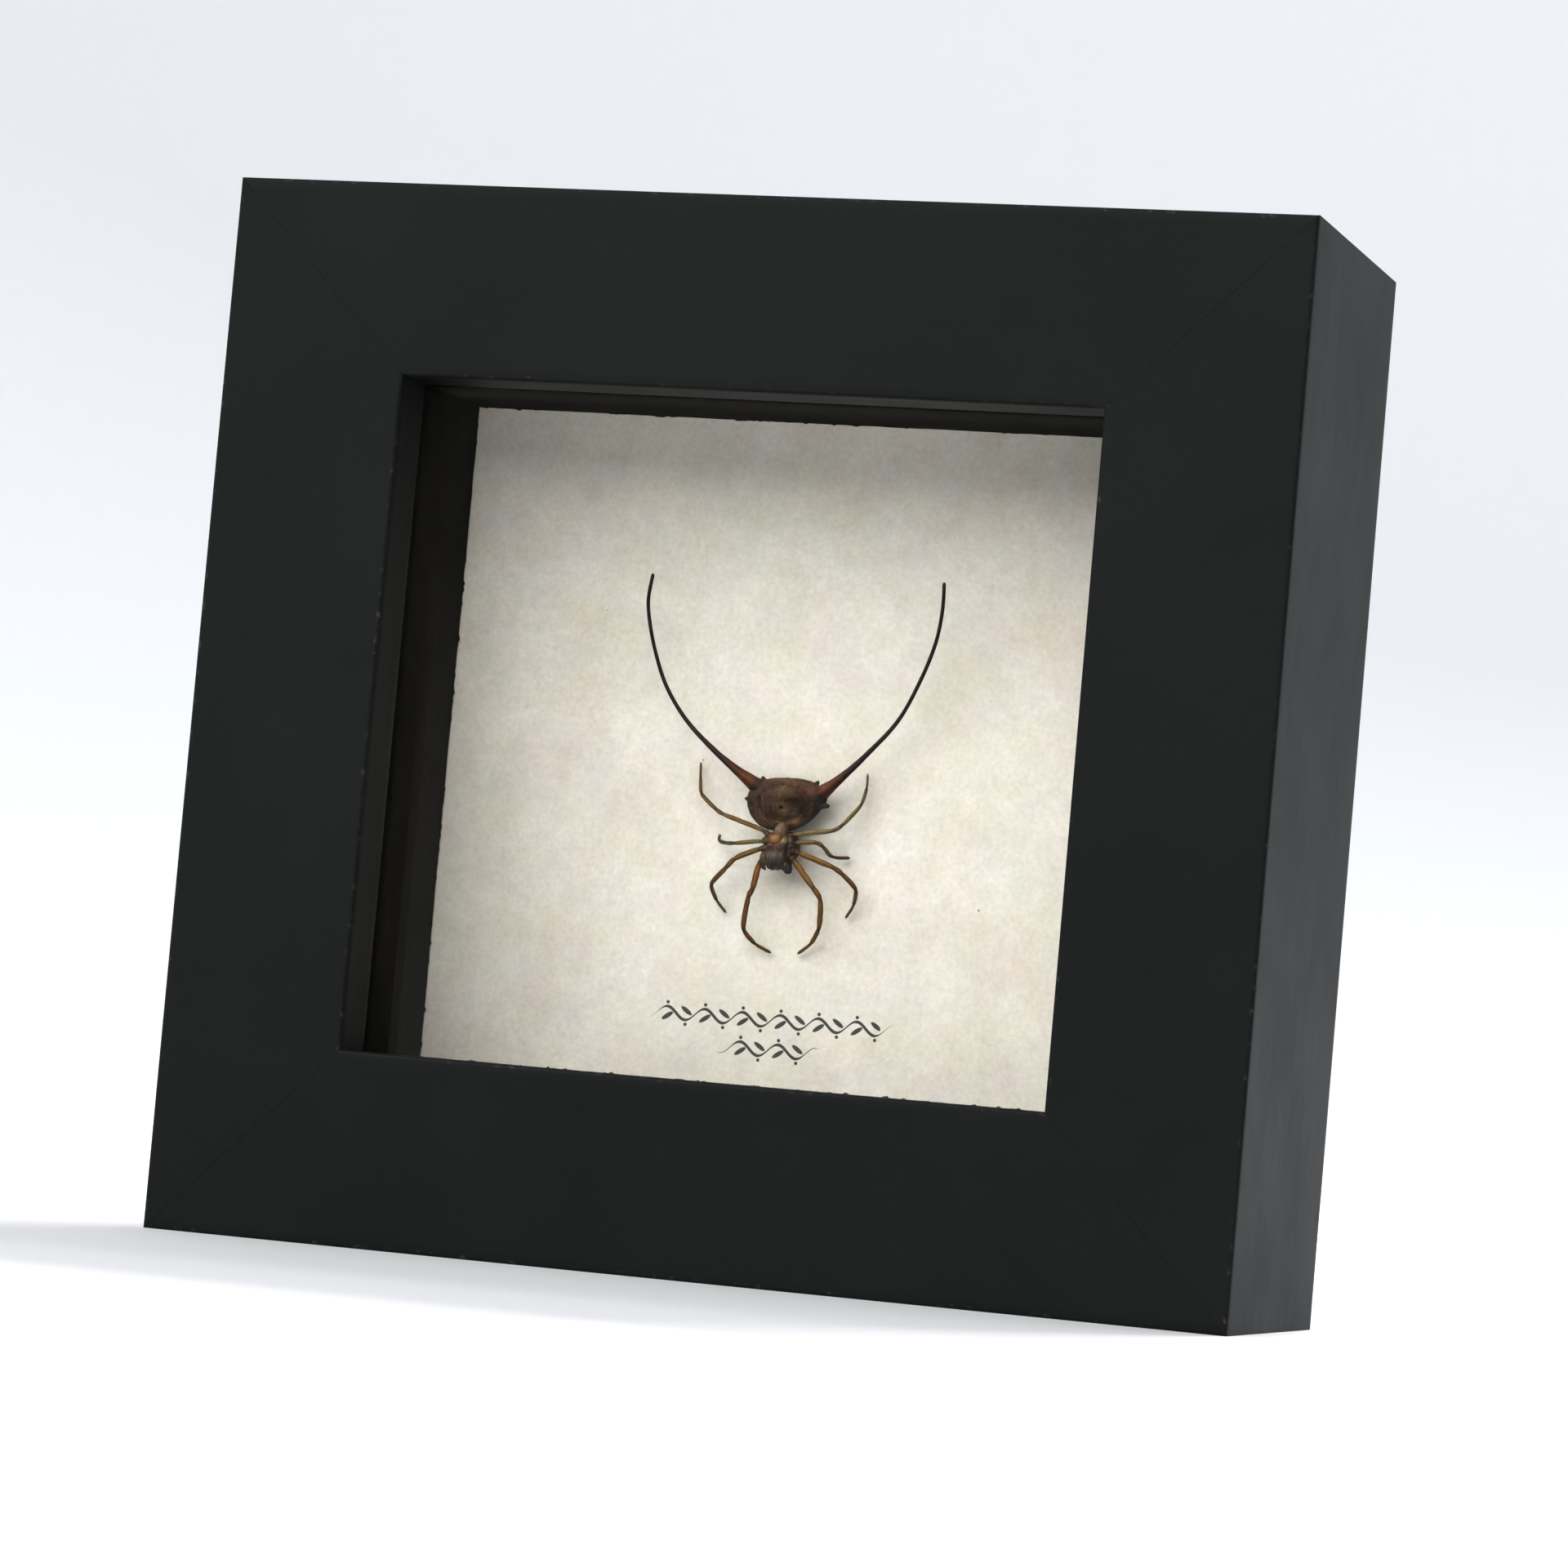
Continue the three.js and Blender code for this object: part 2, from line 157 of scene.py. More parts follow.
class SpecimenSpiderSettings(bpy.types.PropertyGroup):
    """Sizes and colours of the spider."""
    fold_depth: length("Fold depth", "Depth of the folds round the spinneret", 0.075)
    pit_depth: length("Pit depth", "Depth of the muscle pits round the bulge", 0.2)
    bristle_length: length("Bristle length", "Longest bristle on a leg", 0.36)
    bristle_radius: length("Bristle radius", "Radius of a bristle at its root", 0.016)
    bristles_per_leg: bpy.props.IntProperty(
        name="Bristles per leg", description="How many bristles each leg has", default=110, min=0, max=1000)
    abdomen: colour("Abdomen", "Purple brown cuticle of the abdomen", 72, 53, 43)
    flank: colour("Flank", "Grey green sides of the abdomen", 54, 51, 44)
    spine_root: colour("Spine root", "Red brown root of a long spine", 108, 64, 42)
    spine_tip: colour("Spine tip", "Nearly black upper part of a long spine", 44, 35, 25)
    leg_joint: colour("Leg joint", "Darker joints and feet", 60, 42, 26)


class SpecimenStageSettings(bpy.types.PropertyGroup):
    """Camera, floor and lights."""
    lens: bpy.props.FloatProperty(name="Lens", description="Focal length of the camera in millimetres",
                                  default=123.23, min=20, max=500)
    floor_radius: length("Floor radius", "Where the floor starts to curve up", 1300)
    floor_colour: colour("Floor", "Pale floor and backdrop", 206, 207, 209)
    key_power: watts("Key light", "Soft light from the upper left, in watts", 46)
    rim_power: watts("Rim light", "Light from above and behind, in watts", 30)
    backdrop_power: watts("Backdrop light", "Light on the back wall, in watts", 24.5)


# Numbers and curves


def smooth_step(low, high, value):
    """0 below low and 1 above high, with 3s^2 - 2s^3 of the share s between them."""
    s = np.clip((np.asarray(value, float) - low) / (high - low), 0, 1)
    return s * s * (3 - 2 * s)


def bump_at(distance, radius):
    """A round hill of height 1: exp of minus the square of distance over radius."""
    return np.exp(-((distance / radius) ** 2))


def lattice_value(cells, seed):
    """A value from -1 to 1 for each whole-numbered cell, the fraction of a large multiple of a sine."""
    mixed = np.sin(cells @ np.array([127.1, 311.7, 74.7]) + 19.19 * seed) * 43758.5453
    return 2 * (mixed - np.floor(mixed)) - 1


def noise(points, size, seed=0):
    """Smooth noise from -1 to 1: the values at the eight corners of each cell of the given size, blended."""
    steps = np.asarray(points, float) / size
    cell = np.floor(steps)
    part = steps - cell
    weight = part * part * (3 - 2 * part)
    total = np.zeros(steps.shape[:-1])
    for corner in np.ndindex(2, 2, 2):
        corner = np.array(corner)
        total += lattice_value(cell + corner, seed) * np.prod(np.where(corner, weight, 1 - weight), axis=-1)
    return total


def layered_noise(points, size, seed=0, layers=3):
    """Noise plus noise of half the size and half the height, and so on."""
    total = sum(noise(points, size / 2**k, seed + k) / 2**k for k in range(layers))
    return total / (2 - 2.0 ** (1 - layers))


def ridged(points, size, seed=0, layers=3, depth=2.2):
    """Noise folded into sharp ridges: 1 - depth |noise|."""
    return 1 - depth * np.abs(layered_noise(points, size, seed, layers))


def spline(control, per_span=24, closed=False):
    """Centripetal Catmull-Rom curve: a cubic between each two control points, whose slopes at the ends come
    from the neighbouring points, weighed by the square roots of their distances."""
    control = np.asarray(control, float)
    if closed:
        before, start, end, after = (np.roll(control, shift, axis=0) for shift in (1, 0, -1, -2))
    else:
        padded = np.vstack([2 * control[0] - control[1], control, 2 * control[-1] - control[-2]])
        before, start, end, after = padded[:-3], padded[1:-2], padded[2:-1], padded[3:]
    steps = ((before, start), (start, end), (end, after))
    gaps = [np.sqrt(np.linalg.norm(b - a, axis=1))[:, None] for a, b in steps]
    slope_in = (start - before) / gaps[0] - (end - before) / (gaps[0] + gaps[1]) + (end - start) / gaps[1]
    slope_out = (end - start) / gaps[1] - (after - start) / (gaps[1] + gaps[2]) + (after - end) / gaps[2]
    t = np.linspace(0, 1, per_span, endpoint=False)[None, :, None]
    curve = ((2 * t**3 - 3 * t**2 + 1) * start[:, None]
             + (t**3 - 2 * t**2 + t) * (slope_in * gaps[1])[:, None]
             + (3 * t**2 - 2 * t**3) * end[:, None]
             + (t**3 - t**2) * (slope_out * gaps[1])[:, None])
    curve = curve.reshape(-1, control.shape[1])
    return curve if closed else np.vstack([curve, control[-1]])


def even_steps(curve, count):
    """The curve's points moved to count equal steps of its length."""
    travelled = np.concatenate([[0], np.cumsum(np.linalg.norm(np.diff(curve, axis=0), axis=1))])
    wanted = np.linspace(0, travelled[-1], count)
    return np.stack([np.interp(wanted, travelled, axis) for axis in curve.T], axis=1)


def unit(vectors):
    """Vectors scaled to length 1."""
    return vectors / np.maximum(np.linalg.norm(vectors, axis=-1, keepdims=True), 1e-12)


def on_card(points):
    """Points [right, up, lift] from the middle of the card's face, as points of the part."""
    points = np.asarray(points, float)
    return np.stack([points[..., 0], CARD_LOW[1] - points[..., 2], CENTRE_Z + points[..., 1]], axis=-1)


# Surfaces


def quads_between(index):
    """Quads that join each row of a grid of point numbers to the next, with the rows closed on
    themselves."""
    here, over = index[:-1], index[1:]
    return np.stack([here, np.roll(here, -1, 1), np.roll(over, -1, 1), over], axis=-1).reshape(-1, 4)


def surface(grid, poles=True, values=None):
    """A closed skin over a grid of rows that each run round the shape. Neighbouring rows are joined by
    quads, and each end is closed by a fan to the row's middle, or by one flat face where poles is false."""
    rows, columns = grid.shape[:2]
    index = np.arange(rows * columns).reshape(rows, columns)
    quads = quads_between(index)
    points = grid.reshape(-1, 3)
    extra = {}
    for name, value in (values or {}).items():
        inner = np.shape(value)[2:]
        extra[name] = np.broadcast_to(value, (rows, columns, *inner)).reshape(rows * columns, *inner)
    if poles:
        points = np.vstack([points, grid[0].mean(0), grid[-1].mean(0)])
        first, last = index[0], index[-1]
        fans = [np.stack([np.roll(first, -1), first, np.full(columns, rows * columns)], axis=-1),
                np.stack([last, np.roll(last, -1), np.full(columns, rows * columns + 1)], axis=-1)]
        faces = [quads, *fans]
        extra = {name: np.concatenate([v, v[:columns].mean(0)[None], v[-columns:].mean(0)[None]])
                 for name, v in extra.items()}
    else:
        faces = [quads, index[0][::-1][None], index[-1][None]]
    if signed_volume(points, faces) < 0:
        faces = [face[:, ::-1] for face in faces]
    return points, faces, extra


def signed_volume(points, faces):
    """Six times the volume inside, by the sum of a . (b x c) over fans of triangles. It is negative if
    inside out."""
    total = 0
    for group in faces:
        corners = points[group]
        for k in range(1, group.shape[1] - 1):
            total += np.sum(corners[:, 0] * np.cross(corners[:, k], corners[:, k + 1]))
    return total


def outward(grid):
    """The unit normal at each point of a grid whose rows close on themselves: the cross product of the
    steps along and across the rows, turned away from each row's middle."""
    across = np.gradient(grid, axis=0)
    round_row = np.roll(grid, -1, 1) - np.roll(grid, 1, 1)
    normal = unit(np.cross(round_row, across))
    facing = np.sum(normal * (grid - grid.mean(axis=(0, 1))), axis=-1).sum()
    return normal if facing > 0 else -normal


def rings_round(path, radius, sides, squeeze=1.0):
    """Rings round a path in the card's frame: centre + radius (cos a * side + squeeze * sin a * over),
    where side is level with the card and square to the path, and over is square to both."""
    along = unit(np.gradient(path, axis=0))
    side = unit(np.cross(along, [0.0, 0.0, 1.0]))
    over = np.cross(side, along)
    angle = np.linspace(0, 2 * np.pi, sides, endpoint=False)[None, :, None]
    ring = np.cos(angle) * side[:, None] + squeeze * np.sin(angle) * over[:, None]
    radius = np.broadcast_to(radius, path.shape[:1])[:, None, None]
    return path[:, None] + radius * ring, unit(ring), angle[..., 0]


def lathe(profile, sides):
    """A profile of [radius, height] turned round the height axis."""
    angle = np.linspace(0, 2 * np.pi, sides, endpoint=False)
    radius, height = np.asarray(profile, float).T[:, :, None]
    return np.stack([radius * np.cos(angle), radius * np.sin(angle), height + 0 * angle], axis=-1)


def put(name, surfaces, material, replaces=(), smooth=True, crease=None):
    """Makes one mesh of surfaces in millimetres of the part's frame, lets it ride on the part, and returns
    it. Edges that turn by more degrees than crease stay sharp."""
    points, faces, extras, start = [], [], {}, 0
    for piece_points, piece_faces, _ in surfaces:
        points.append(piece_points)
        faces += [row for group in piece_faces for row in (group + start).tolist()]
        start += len(piece_points)
    for key in surfaces[0][2]:
        extras[key] = np.concatenate([extra[key] for _, _, extra in surfaces])
    mesh = bpy.data.meshes.new(name)
    mesh.from_pydata((np.vstack(points) * MM).tolist(), [], faces)
    for key, values in extras.items():
        kind, field = {1: ("FLOAT", "value"), 2: ("FLOAT_COLOR", "color")}[values.ndim]
        if key == "bar":
            kind, field = "FLOAT_VECTOR", "vector"
        attribute = mesh.attributes.new(key, kind, "POINT")
        attribute.data.foreach_set(field, values.astype(np.float32).ravel())
    mesh.polygons.foreach_set("use_smooth", [smooth] * len(mesh.polygons))
    if crease is not None:
        mesh.set_sharp_from_angle(angle=math.radians(crease))
    mesh.materials.append(material)
    if mesh.validate():
        raise RuntimeError(f"{name} has faces that Blender had to mend")
    piece = bpy.data.objects.new(name, mesh)
    bpy.context.scene.collection.objects.link(piece)
    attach(piece, "root")
    if replaces:
        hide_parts(*replaces)
    return piece


# Bars of a mitred ring


def softened(corners, radii, rows=5, margin=0.9):
    """An outline of square corners with each rounded: corner + r ((1 - sin a) to the one before + (1 - cos
    a) to the next), for a from 0 to 90 degrees. Its second value is 1 on the rounding and 0 at margin
    beside it."""
    corners = np.asarray(corners, float)
    radii = np.asarray(radii, float)[:, None]
    to_before = unit(np.roll(corners, 1, axis=0) - corners)[:, None]
    to_next = unit(np.roll(corners, -1, axis=0) - corners)[:, None]
    a = np.linspace(0, np.pi / 2, rows)
    first = np.array([1] + [0] * (rows + 1))
    before_part = radii * np.concatenate([[1], 1 - np.sin(a), [0]]) + margin * first
    next_part = radii * np.concatenate([[0], 1 - np.cos(a), [1]]) + margin * first[::-1]
    outline = corners[:, None] + before_part[..., None] * to_before + next_part[..., None] * to_next
    edge = np.tile([0.0] + [1.0] * rows + [0.0], len(corners))
    return outline.reshape(-1, 2), edge


def bar_grid(side, ring_width, ring_height, outline, front, stations, bevel=0.025, gap=0.004):
    """One side of a mitred ring. The outline is [across from the outer edge, depth from the front], and at
    station s from -1 to 1 it stands at s (half the ring's length - across - gap), so that both ends are cut
    at 45 degrees. The two end rows draw in by bevel. Also gives each point's place along, across and into
    the bar."""
    upright = side in ("left", "right")
    half = (ring_height if upright else ring_width) / 2 - gap
    reach = (ring_width if upright else ring_height) / 2
    middle = outline.mean(axis=0)
    inset = outline + bevel * np.sign(middle - outline) * (np.abs(middle - outline) > bevel)
    stations = np.concatenate([[-1], stations * (1 - bevel / half), [1]])
    shape = np.repeat(outline[None], len(stations), axis=0)
    shape[[0, -1]] = inset
    along = stations[:, None] * (half - shape[..., 0])
    turn = {"bottom": 0, "right": 1, "top": 2, "left": 3}[side] * np.pi / 2
    low = shape[..., 0] - reach
    grid = np.stack([along * np.cos(turn) - low * np.sin(turn), front + shape[..., 1],
                     along * np.sin(turn) + low * np.cos(turn) + CENTRE_Z], axis=-1)
    return grid, np.stack([along, shape[..., 0], shape[..., 1]], axis=-1) * MM


# Material building


class Nodes:
    """A node tree being filled. add() places a node, sets its own settings and fills or links its
    inputs."""

    def __init__(self, tree):
        self.tree = tree

    def add(self, kind, inputs=None, output=0, **settings):
        node = self.tree.nodes.new("ShaderNode" + kind)
        for key, value in settings.items():
            setattr(node, key, value)
        for key, value in (inputs or {}).items():
            self.fill(node.inputs[key], value)
        return node.outputs[output]

    def fill(self, socket, value):
        if isinstance(value, bpy.types.NodeSocket):
            self.tree.links.new(value, socket)
        elif socket.type == "RGBA" and len(value) == 3:
            socket.default_value = (*value, 1)
        else:
            socket.default_value = value

    def calc(self, operation, a, b=0.0):
        return self.add("Math", {0: a, 1: b}, operation=operation)

    def blend(self, factor, a, b, mode="MIX"):
        return self.add("Mix", {0: factor, 6: a, 7: b}, output=2, data_type="RGBA", blend_type=mode)

    def between(self, value, low, high, to_low=0.0, to_high=1.0):
        return self.add("MapRange", {0: value, 1: low, 2: high, 3: to_low, 4: to_high}, clamp=True)

    def noise(self, vector, scale, detail=3.0, roughness=0.5, output=0):
        inputs = {"Vector": vector, "Scale": scale, "Detail": detail, "Roughness": roughness}
        return self.add("TexNoise", inputs, output=output)

    def stretch(self, vector, factors):
        return self.add("Mapping", {"Vector": vector, "Scale": factors})

    def place(self):
        return self.add("TexCoord", output="Object")

    def axes(self, vector):
        node = self.tree.nodes.new("ShaderNodeSeparateXYZ")
        self.fill(node.inputs[0], vector)
        return node.outputs

    def attribute(self, name, output="Fac"):
        return self.add("Attribute", attribute_name=name, output=output)

    def group(self, tree, inputs):
        node = self.tree.nodes.new("ShaderNodeGroup")
        node.node_tree = tree
        for key, value in inputs.items():
            self.fill(node.inputs[key], value)
        return node.outputs[0]

    def bump(self, height, depth):
        return self.add("Bump", {"Height": height, "Distance": depth, "Strength": 1.0})


def node_group(name, inputs, outputs, fill):
    """A shader node group with named sockets, made once and found again after that."""
    if name in bpy.data.node_groups:
        return bpy.data.node_groups[name]
    tree = bpy.data.node_groups.new(name, "ShaderNodeTree")
    for direction, sockets in (("INPUT", inputs), ("OUTPUT", outputs)):
        for socket, kind in sockets.items():
            tree.interface.new_socket(socket, in_out=direction, socket_type="NodeSocket" + kind)
    nodes = Nodes(tree)
    given = tree.nodes.new("NodeGroupInput").outputs
    made = fill(nodes, given)
    target = tree.nodes.new("NodeGroupOutput")
    for socket, value in made.items():
        tree.links.new(value, target.inputs[socket])
    return tree


def blotches():
    """Cloudy patches: two noises, the second bent by the first, pushed apart by contrast."""
    def fill(nodes, given):
        warp = nodes.noise(given["Place"], nodes.calc("MULTIPLY", given["Scale"], 0.45), detail=2, output=1)
        reach = nodes.calc("DIVIDE", 0.5, given["Scale"])
        push = nodes.add("VectorMath", {0: warp, "Scale": reach}, operation="SCALE")
        bent = nodes.add("VectorMath", {0: given["Place"], 1: push})
        cloud = nodes.noise(bent, given["Scale"], detail=3, roughness=0.6)
        spread = nodes.calc("DIVIDE", 0.5, given["Contrast"])
        low, high = nodes.calc("SUBTRACT", 0.5, spread), nodes.calc("ADD", 0.5, spread)
        return {"Mask": nodes.between(cloud, low, high)}
    sockets = {"Place": "Vector", "Scale": "Float", "Contrast": "Float"}
    return node_group("Blotches", sockets, {"Mask": "Float"}, fill)


def grain():
    """Fine tooth of a surface: coarse noise with finer noise on top, as a height from 0 to 1."""
    def fill(nodes, given):
        coarse = nodes.noise(given["Place"], given["Scale"], detail=2)
        fine_scale = nodes.calc("MULTIPLY", given["Scale"], 3.7)
        fine = nodes.noise(given["Place"], fine_scale, detail=3, roughness=0.65)
        return {"Height": nodes.add("Mix", {0: given["Fineness"], 2: coarse, 3: fine})}
    sockets = {"Place": "Vector", "Scale": "Float", "Fineness": "Float"}
    return node_group("Grain", sockets, {"Height": "Float"}, fill)


def edge_wear():
    """Where an edge is rubbed: the edge value times noise, kept above a bar that falls as the amount
    grows."""
    def fill(nodes, given):
        patchy = nodes.noise(given["Place"], given["Scale"], detail=4, roughness=0.7)
        rubbed = nodes.calc("MULTIPLY", patchy, given["Edge"])
        bar = nodes.calc("SUBTRACT", 0.75, nodes.calc("MULTIPLY", given["Amount"], 0.5))
        return {"Mask": nodes.between(rubbed, bar, nodes.calc("ADD", bar, 0.12))}
    sockets = {"Place": "Vector", "Edge": "Float", "Scale": "Float", "Amount": "Float"}
    return node_group("Edge wear", sockets, {"Mask": "Float"}, fill)


def specks():
    """Sparse small dots: the middle of some cells of a cell pattern, chosen by each cell's own random
    colour."""
    def fill(nodes, given):
        cells = {"Vector": given["Place"], "Scale": given["Scale"]}
        near = nodes.add("TexVoronoi", cells, output="Distance")
        chosen = nodes.add("SeparateColor", {0: nodes.add("TexVoronoi", cells, output="Color")})
        dot = nodes.calc("LESS_THAN", near, nodes.calc("MULTIPLY", chosen, given["Size"]))
        rare = nodes.calc("GREATER_THAN", chosen, nodes.calc("SUBTRACT", 1.0, given["Amount"]))
        return {"Mask": nodes.calc("MULTIPLY", dot, rare)}
    sockets = {"Place": "Vector", "Scale": "Float", "Size": "Float", "Amount": "Float"}
    return node_group("Specks", sockets, {"Mask": "Float"}, fill)


def finished(name, fill):
    """A material whose Principled shader takes the inputs that fill returns."""
    material = bpy.data.materials.new(name)
    material.use_nodes = True
    nodes = Nodes(material.node_tree)
    shader = material.node_tree.nodes["Principled BSDF"]
    for key, value in fill(nodes).items():
        nodes.fill(shader.inputs[key], value)
    return material


def black_paint(settings):
    """Satin black paint over smooth board: faint brush drag along the bar, and edges rubbed a little
    paler."""
    def fill(nodes):
        bar = nodes.attribute("bar", "Vector")
        drag = nodes.noise(nodes.stretch(bar, (90, 1600, 1600)), 1.0, detail=4)
        tooth = nodes.group(grain(), {"Place": nodes.place(), "Scale": 1500, "Fineness": 0.4})
        cloud = nodes.group(blotches(), {"Place": nodes.place(), "Scale": 45, "Contrast": 2.2})
        wear = nodes.group(edge_wear(), {"Place": nodes.place(), "Edge": nodes.attribute("edge"),
                                         "Scale": 900, "Amount": settings.edge_wear})
        shaded = nodes.blend(cloud, scaled(settings.paint, 0.88), scaled(settings.paint, 1.12))
        dusted = nodes.blend(nodes.between(tooth, 0.62, 0.78, 0, 0.25), shaded, settings.worn_paint)
        return {
            "Base Color": nodes.blend(wear, dusted, settings.worn_paint),
            "Roughness": nodes.between(nodes.calc("ADD", cloud, drag), 0.3, 1.6, 0.42, 0.54),
            "Specular IOR Level": 0.045,
            "Normal": nodes.bump(nodes.calc("ADD", tooth, drag), 0.00001),
        }
    return finished("satin black paint", fill)


def liner_strip(settings):
    """Dark brown olive strip with a matt, slightly felted face."""
    def fill(nodes):
        bar = nodes.attribute("bar", "Vector")
        cloud = nodes.group(blotches(), {"Place": nodes.place(), "Scale": 160, "Contrast": 1.8})
        fibres = nodes.noise(nodes.stretch(bar, (500, 2600, 2600)), 1.0, detail=4, roughness=0.65)
        tooth = nodes.group(grain(), {"Place": nodes.place(), "Scale": 2600, "Fineness": 0.5})
        shade = nodes.between(nodes.calc("ADD", cloud, fibres), 0.4, 1.4)
        return {
            "Base Color": nodes.blend(shade, scaled(settings.liner, 0.6), scaled(settings.liner, 1.35)),
            "Roughness": nodes.between(fibres, 0.3, 0.7, 0.8, 0.98),
            "Specular IOR Level": 0.02,
            "Normal": nodes.bump(nodes.calc("ADD", tooth, fibres), 0.00005),
        }
    return finished("dark liner", fill)


def clear_glass():
    """Clear glass that lets light through to what is behind it, by passing shadow and diffuse rays straight
    on."""
    material = bpy.data.materials.new("clear glass")
    material.use_nodes = True
    nodes = Nodes(material.node_tree)
    glass = material.node_tree.nodes["Principled BSDF"]
    for key, value in {"Base Color": (0.99, 0.99, 0.99, 1), "Roughness": 0.0, "IOR": 1.5,
                       "Transmission Weight": 1.0}.items():
        glass.inputs[key].default_value = value
    rays = material.node_tree.nodes.new("ShaderNodeLightPath").outputs
    passing = nodes.calc("MAXIMUM", rays["Is Shadow Ray"], rays["Is Diffuse Ray"])
    open_air = nodes.add("BsdfTransparent", {"Color": (0.98, 0.98, 0.98)})
    both = nodes.add("MixShader", {0: passing, 1: glass.outputs[0], 2: open_air})
    material.node_tree.links.new(both, material.node_tree.nodes["Material Output"].inputs["Surface"])
    return material


def vine_rule():
    """Ink mask of a drawn vine, in millimetres from its middle: a wavy stem, swelling on its down strokes,
    with a slanted leaf in each bend and a bud on each crest. The pattern repeats by folding the place along
    the stem into half a wave and mirroring every other one."""
    wave, height = 4.6, 0.72
    # Leaf and bud: centre along and up, half sizes and tilt
    leaf = (0.1, -0.36, 0.82, 0.27, 35)
    bud = (0.05, 1.22, 0.21, 0.21, 0)

    def fill(nodes, given):
        across, up = given["Across"], given["Up"]
        phase = nodes.calc("MULTIPLY", across, 2 * math.pi / wave)
        stem = nodes.calc("MULTIPLY", nodes.calc("SINE", phase), height)
        swell = nodes.between(nodes.calc("COSINE", phase), -1, 1, 0.24, 0.11)
        ends = nodes.calc("SUBTRACT", given["Half"], nodes.calc("ABSOLUTE", across))
        whole = nodes.between(ends, 1.3, 1.6)
        off_stem = nodes.calc("ABSOLUTE", nodes.calc("SUBTRACT", up, stem))
        ink = nodes.calc("SUBTRACT", nodes.calc("MULTIPLY", swell, nodes.between(ends, 0, 2.4)), off_stem)
        halves = nodes.calc("MULTIPLY", across, 2 / wave)
        fold = nodes.calc("MULTIPLY", nodes.calc("SUBTRACT", nodes.calc("FRACT", halves), 0.5), wave / 2)
        odd = nodes.calc("FLOORED_MODULO", nodes.calc("FLOOR", halves), 2.0)
        side = nodes.calc("MULTIPLY", up, nodes.calc("SUBTRACT", 1.0, nodes.calc("MULTIPLY", odd, 2.0)))
        for centre_x, centre_y, long, short, tilt in (leaf, bud):
            dx, dy = nodes.calc("SUBTRACT", fold, centre_x), nodes.calc("SUBTRACT", side, centre_y)
            c, s = math.cos(math.radians(tilt)), math.sin(math.radians(tilt))
            dx_long = nodes.calc("MULTIPLY", dx, c / long)
            length_way = nodes.calc("ADD", dx_long, nodes.calc("MULTIPLY", dy, s / long))
            dx_short = nodes.calc("MULTIPLY", dx, s / short)
            cross_way = nodes.calc("SUBTRACT", nodes.calc("MULTIPLY", dy, c / short), dx_short)
            squares = [nodes.calc("POWER", nodes.calc("ABSOLUTE", way), 2.0)
                       for way in (length_way, cross_way)]
            reach = nodes.calc("SQRT", nodes.calc("ADD", *squares))
            inside = nodes.calc("MULTIPLY", nodes.calc("SUBTRACT", whole, reach), short)
            ink = nodes.calc("MAXIMUM", ink, inside)
        return {"Mask": nodes.between(ink, -0.02, 0.03)}
    sockets = {"Across": "Float", "Up": "Float", "Half": "Float"}
    return node_group("Vine rule", sockets, {"Mask": "Float"}, fill)


# Each line of the drawn vine: its middle right and up from the card's middle, and half its length
VINE_RULES = ((1.3, -30.9, 14.8), (1.3, -34.3, 6.3))


def cream_card(settings):
    """Mottled cream paper with soft olive, rosy and bluish clouds, a fine tooth, a few specks and a drawn
    vine."""
    def fill(nodes):
        place = nodes.place()
        axes = nodes.axes(place)
        large = nodes.group(blotches(), {"Place": place, "Scale": 120, "Contrast": 2.6})
        small = nodes.group(blotches(), {"Place": place, "Scale": 480, "Contrast": 2.2})
        tooth = nodes.group(grain(), {"Place": place, "Scale": 1700, "Fineness": 0.55})
        tint = nodes.noise(place, 190, detail=1, output=1)
        base = nodes.blend(nodes.between(large, 0, 1, 0, 0.32), settings.card, settings.card_blotch)
        base = nodes.blend(nodes.between(small, 0, 1, 0, 0.3), base, settings.card_blotch)
        base = nodes.blend(0.2, base, tint, mode="OVERLAY")
        base = nodes.blend(nodes.between(tooth, 0.35, 0.65, 0.3, 0), base, srgb(160, 150, 128))
        dots = nodes.group(specks(), {"Place": place, "Scale": 520, "Size": 0.07, "Amount": 0.014})
        base = nodes.blend(nodes.calc("MULTIPLY", dots, 0.8), base, srgb(84, 72, 52))
        ink = 0.0
        for middle_x, middle_z, half in VINE_RULES:
            aside = nodes.calc("SUBTRACT", axes["X"], middle_x * MM)
            across = nodes.calc("MULTIPLY", aside, 1 / MM)
            above = nodes.calc("SUBTRACT", axes["Z"], (CENTRE_Z + middle_z) * MM)
            up = nodes.calc("MULTIPLY", above, 1 / MM)
            drawn = nodes.group(vine_rule(), {"Across": across, "Up": up, "Half": half})
            ink = nodes.calc("MAXIMUM", drawn, ink)
        return {
            "Base Color": nodes.blend(nodes.calc("MULTIPLY", ink, 0.94), base, settings.ink),
            "Roughness": nodes.between(tooth, 0.3, 0.7, 0.86, 0.98),
            "Specular IOR Level": 0.15,
            "Normal": nodes.bump(tooth, 0.00002),
        }
    return finished("mottled cream card", fill)


def pale_board(settings):
    """Pale mount board with paper faces."""
    def fill(nodes):
        tooth = nodes.group(grain(), {"Place": nodes.place(), "Scale": 1800, "Fineness": 0.5})
        cloud = nodes.group(blotches(), {"Place": nodes.place(), "Scale": 90, "Contrast": 1.5})
        return {
            "Base Color": nodes.blend(cloud, settings.board, scaled(settings.board, 0.9)),
            "Roughness": 0.92,
            "Normal": nodes.bump(tooth, 0.00003),
        }
    return finished("pale mount board", fill)


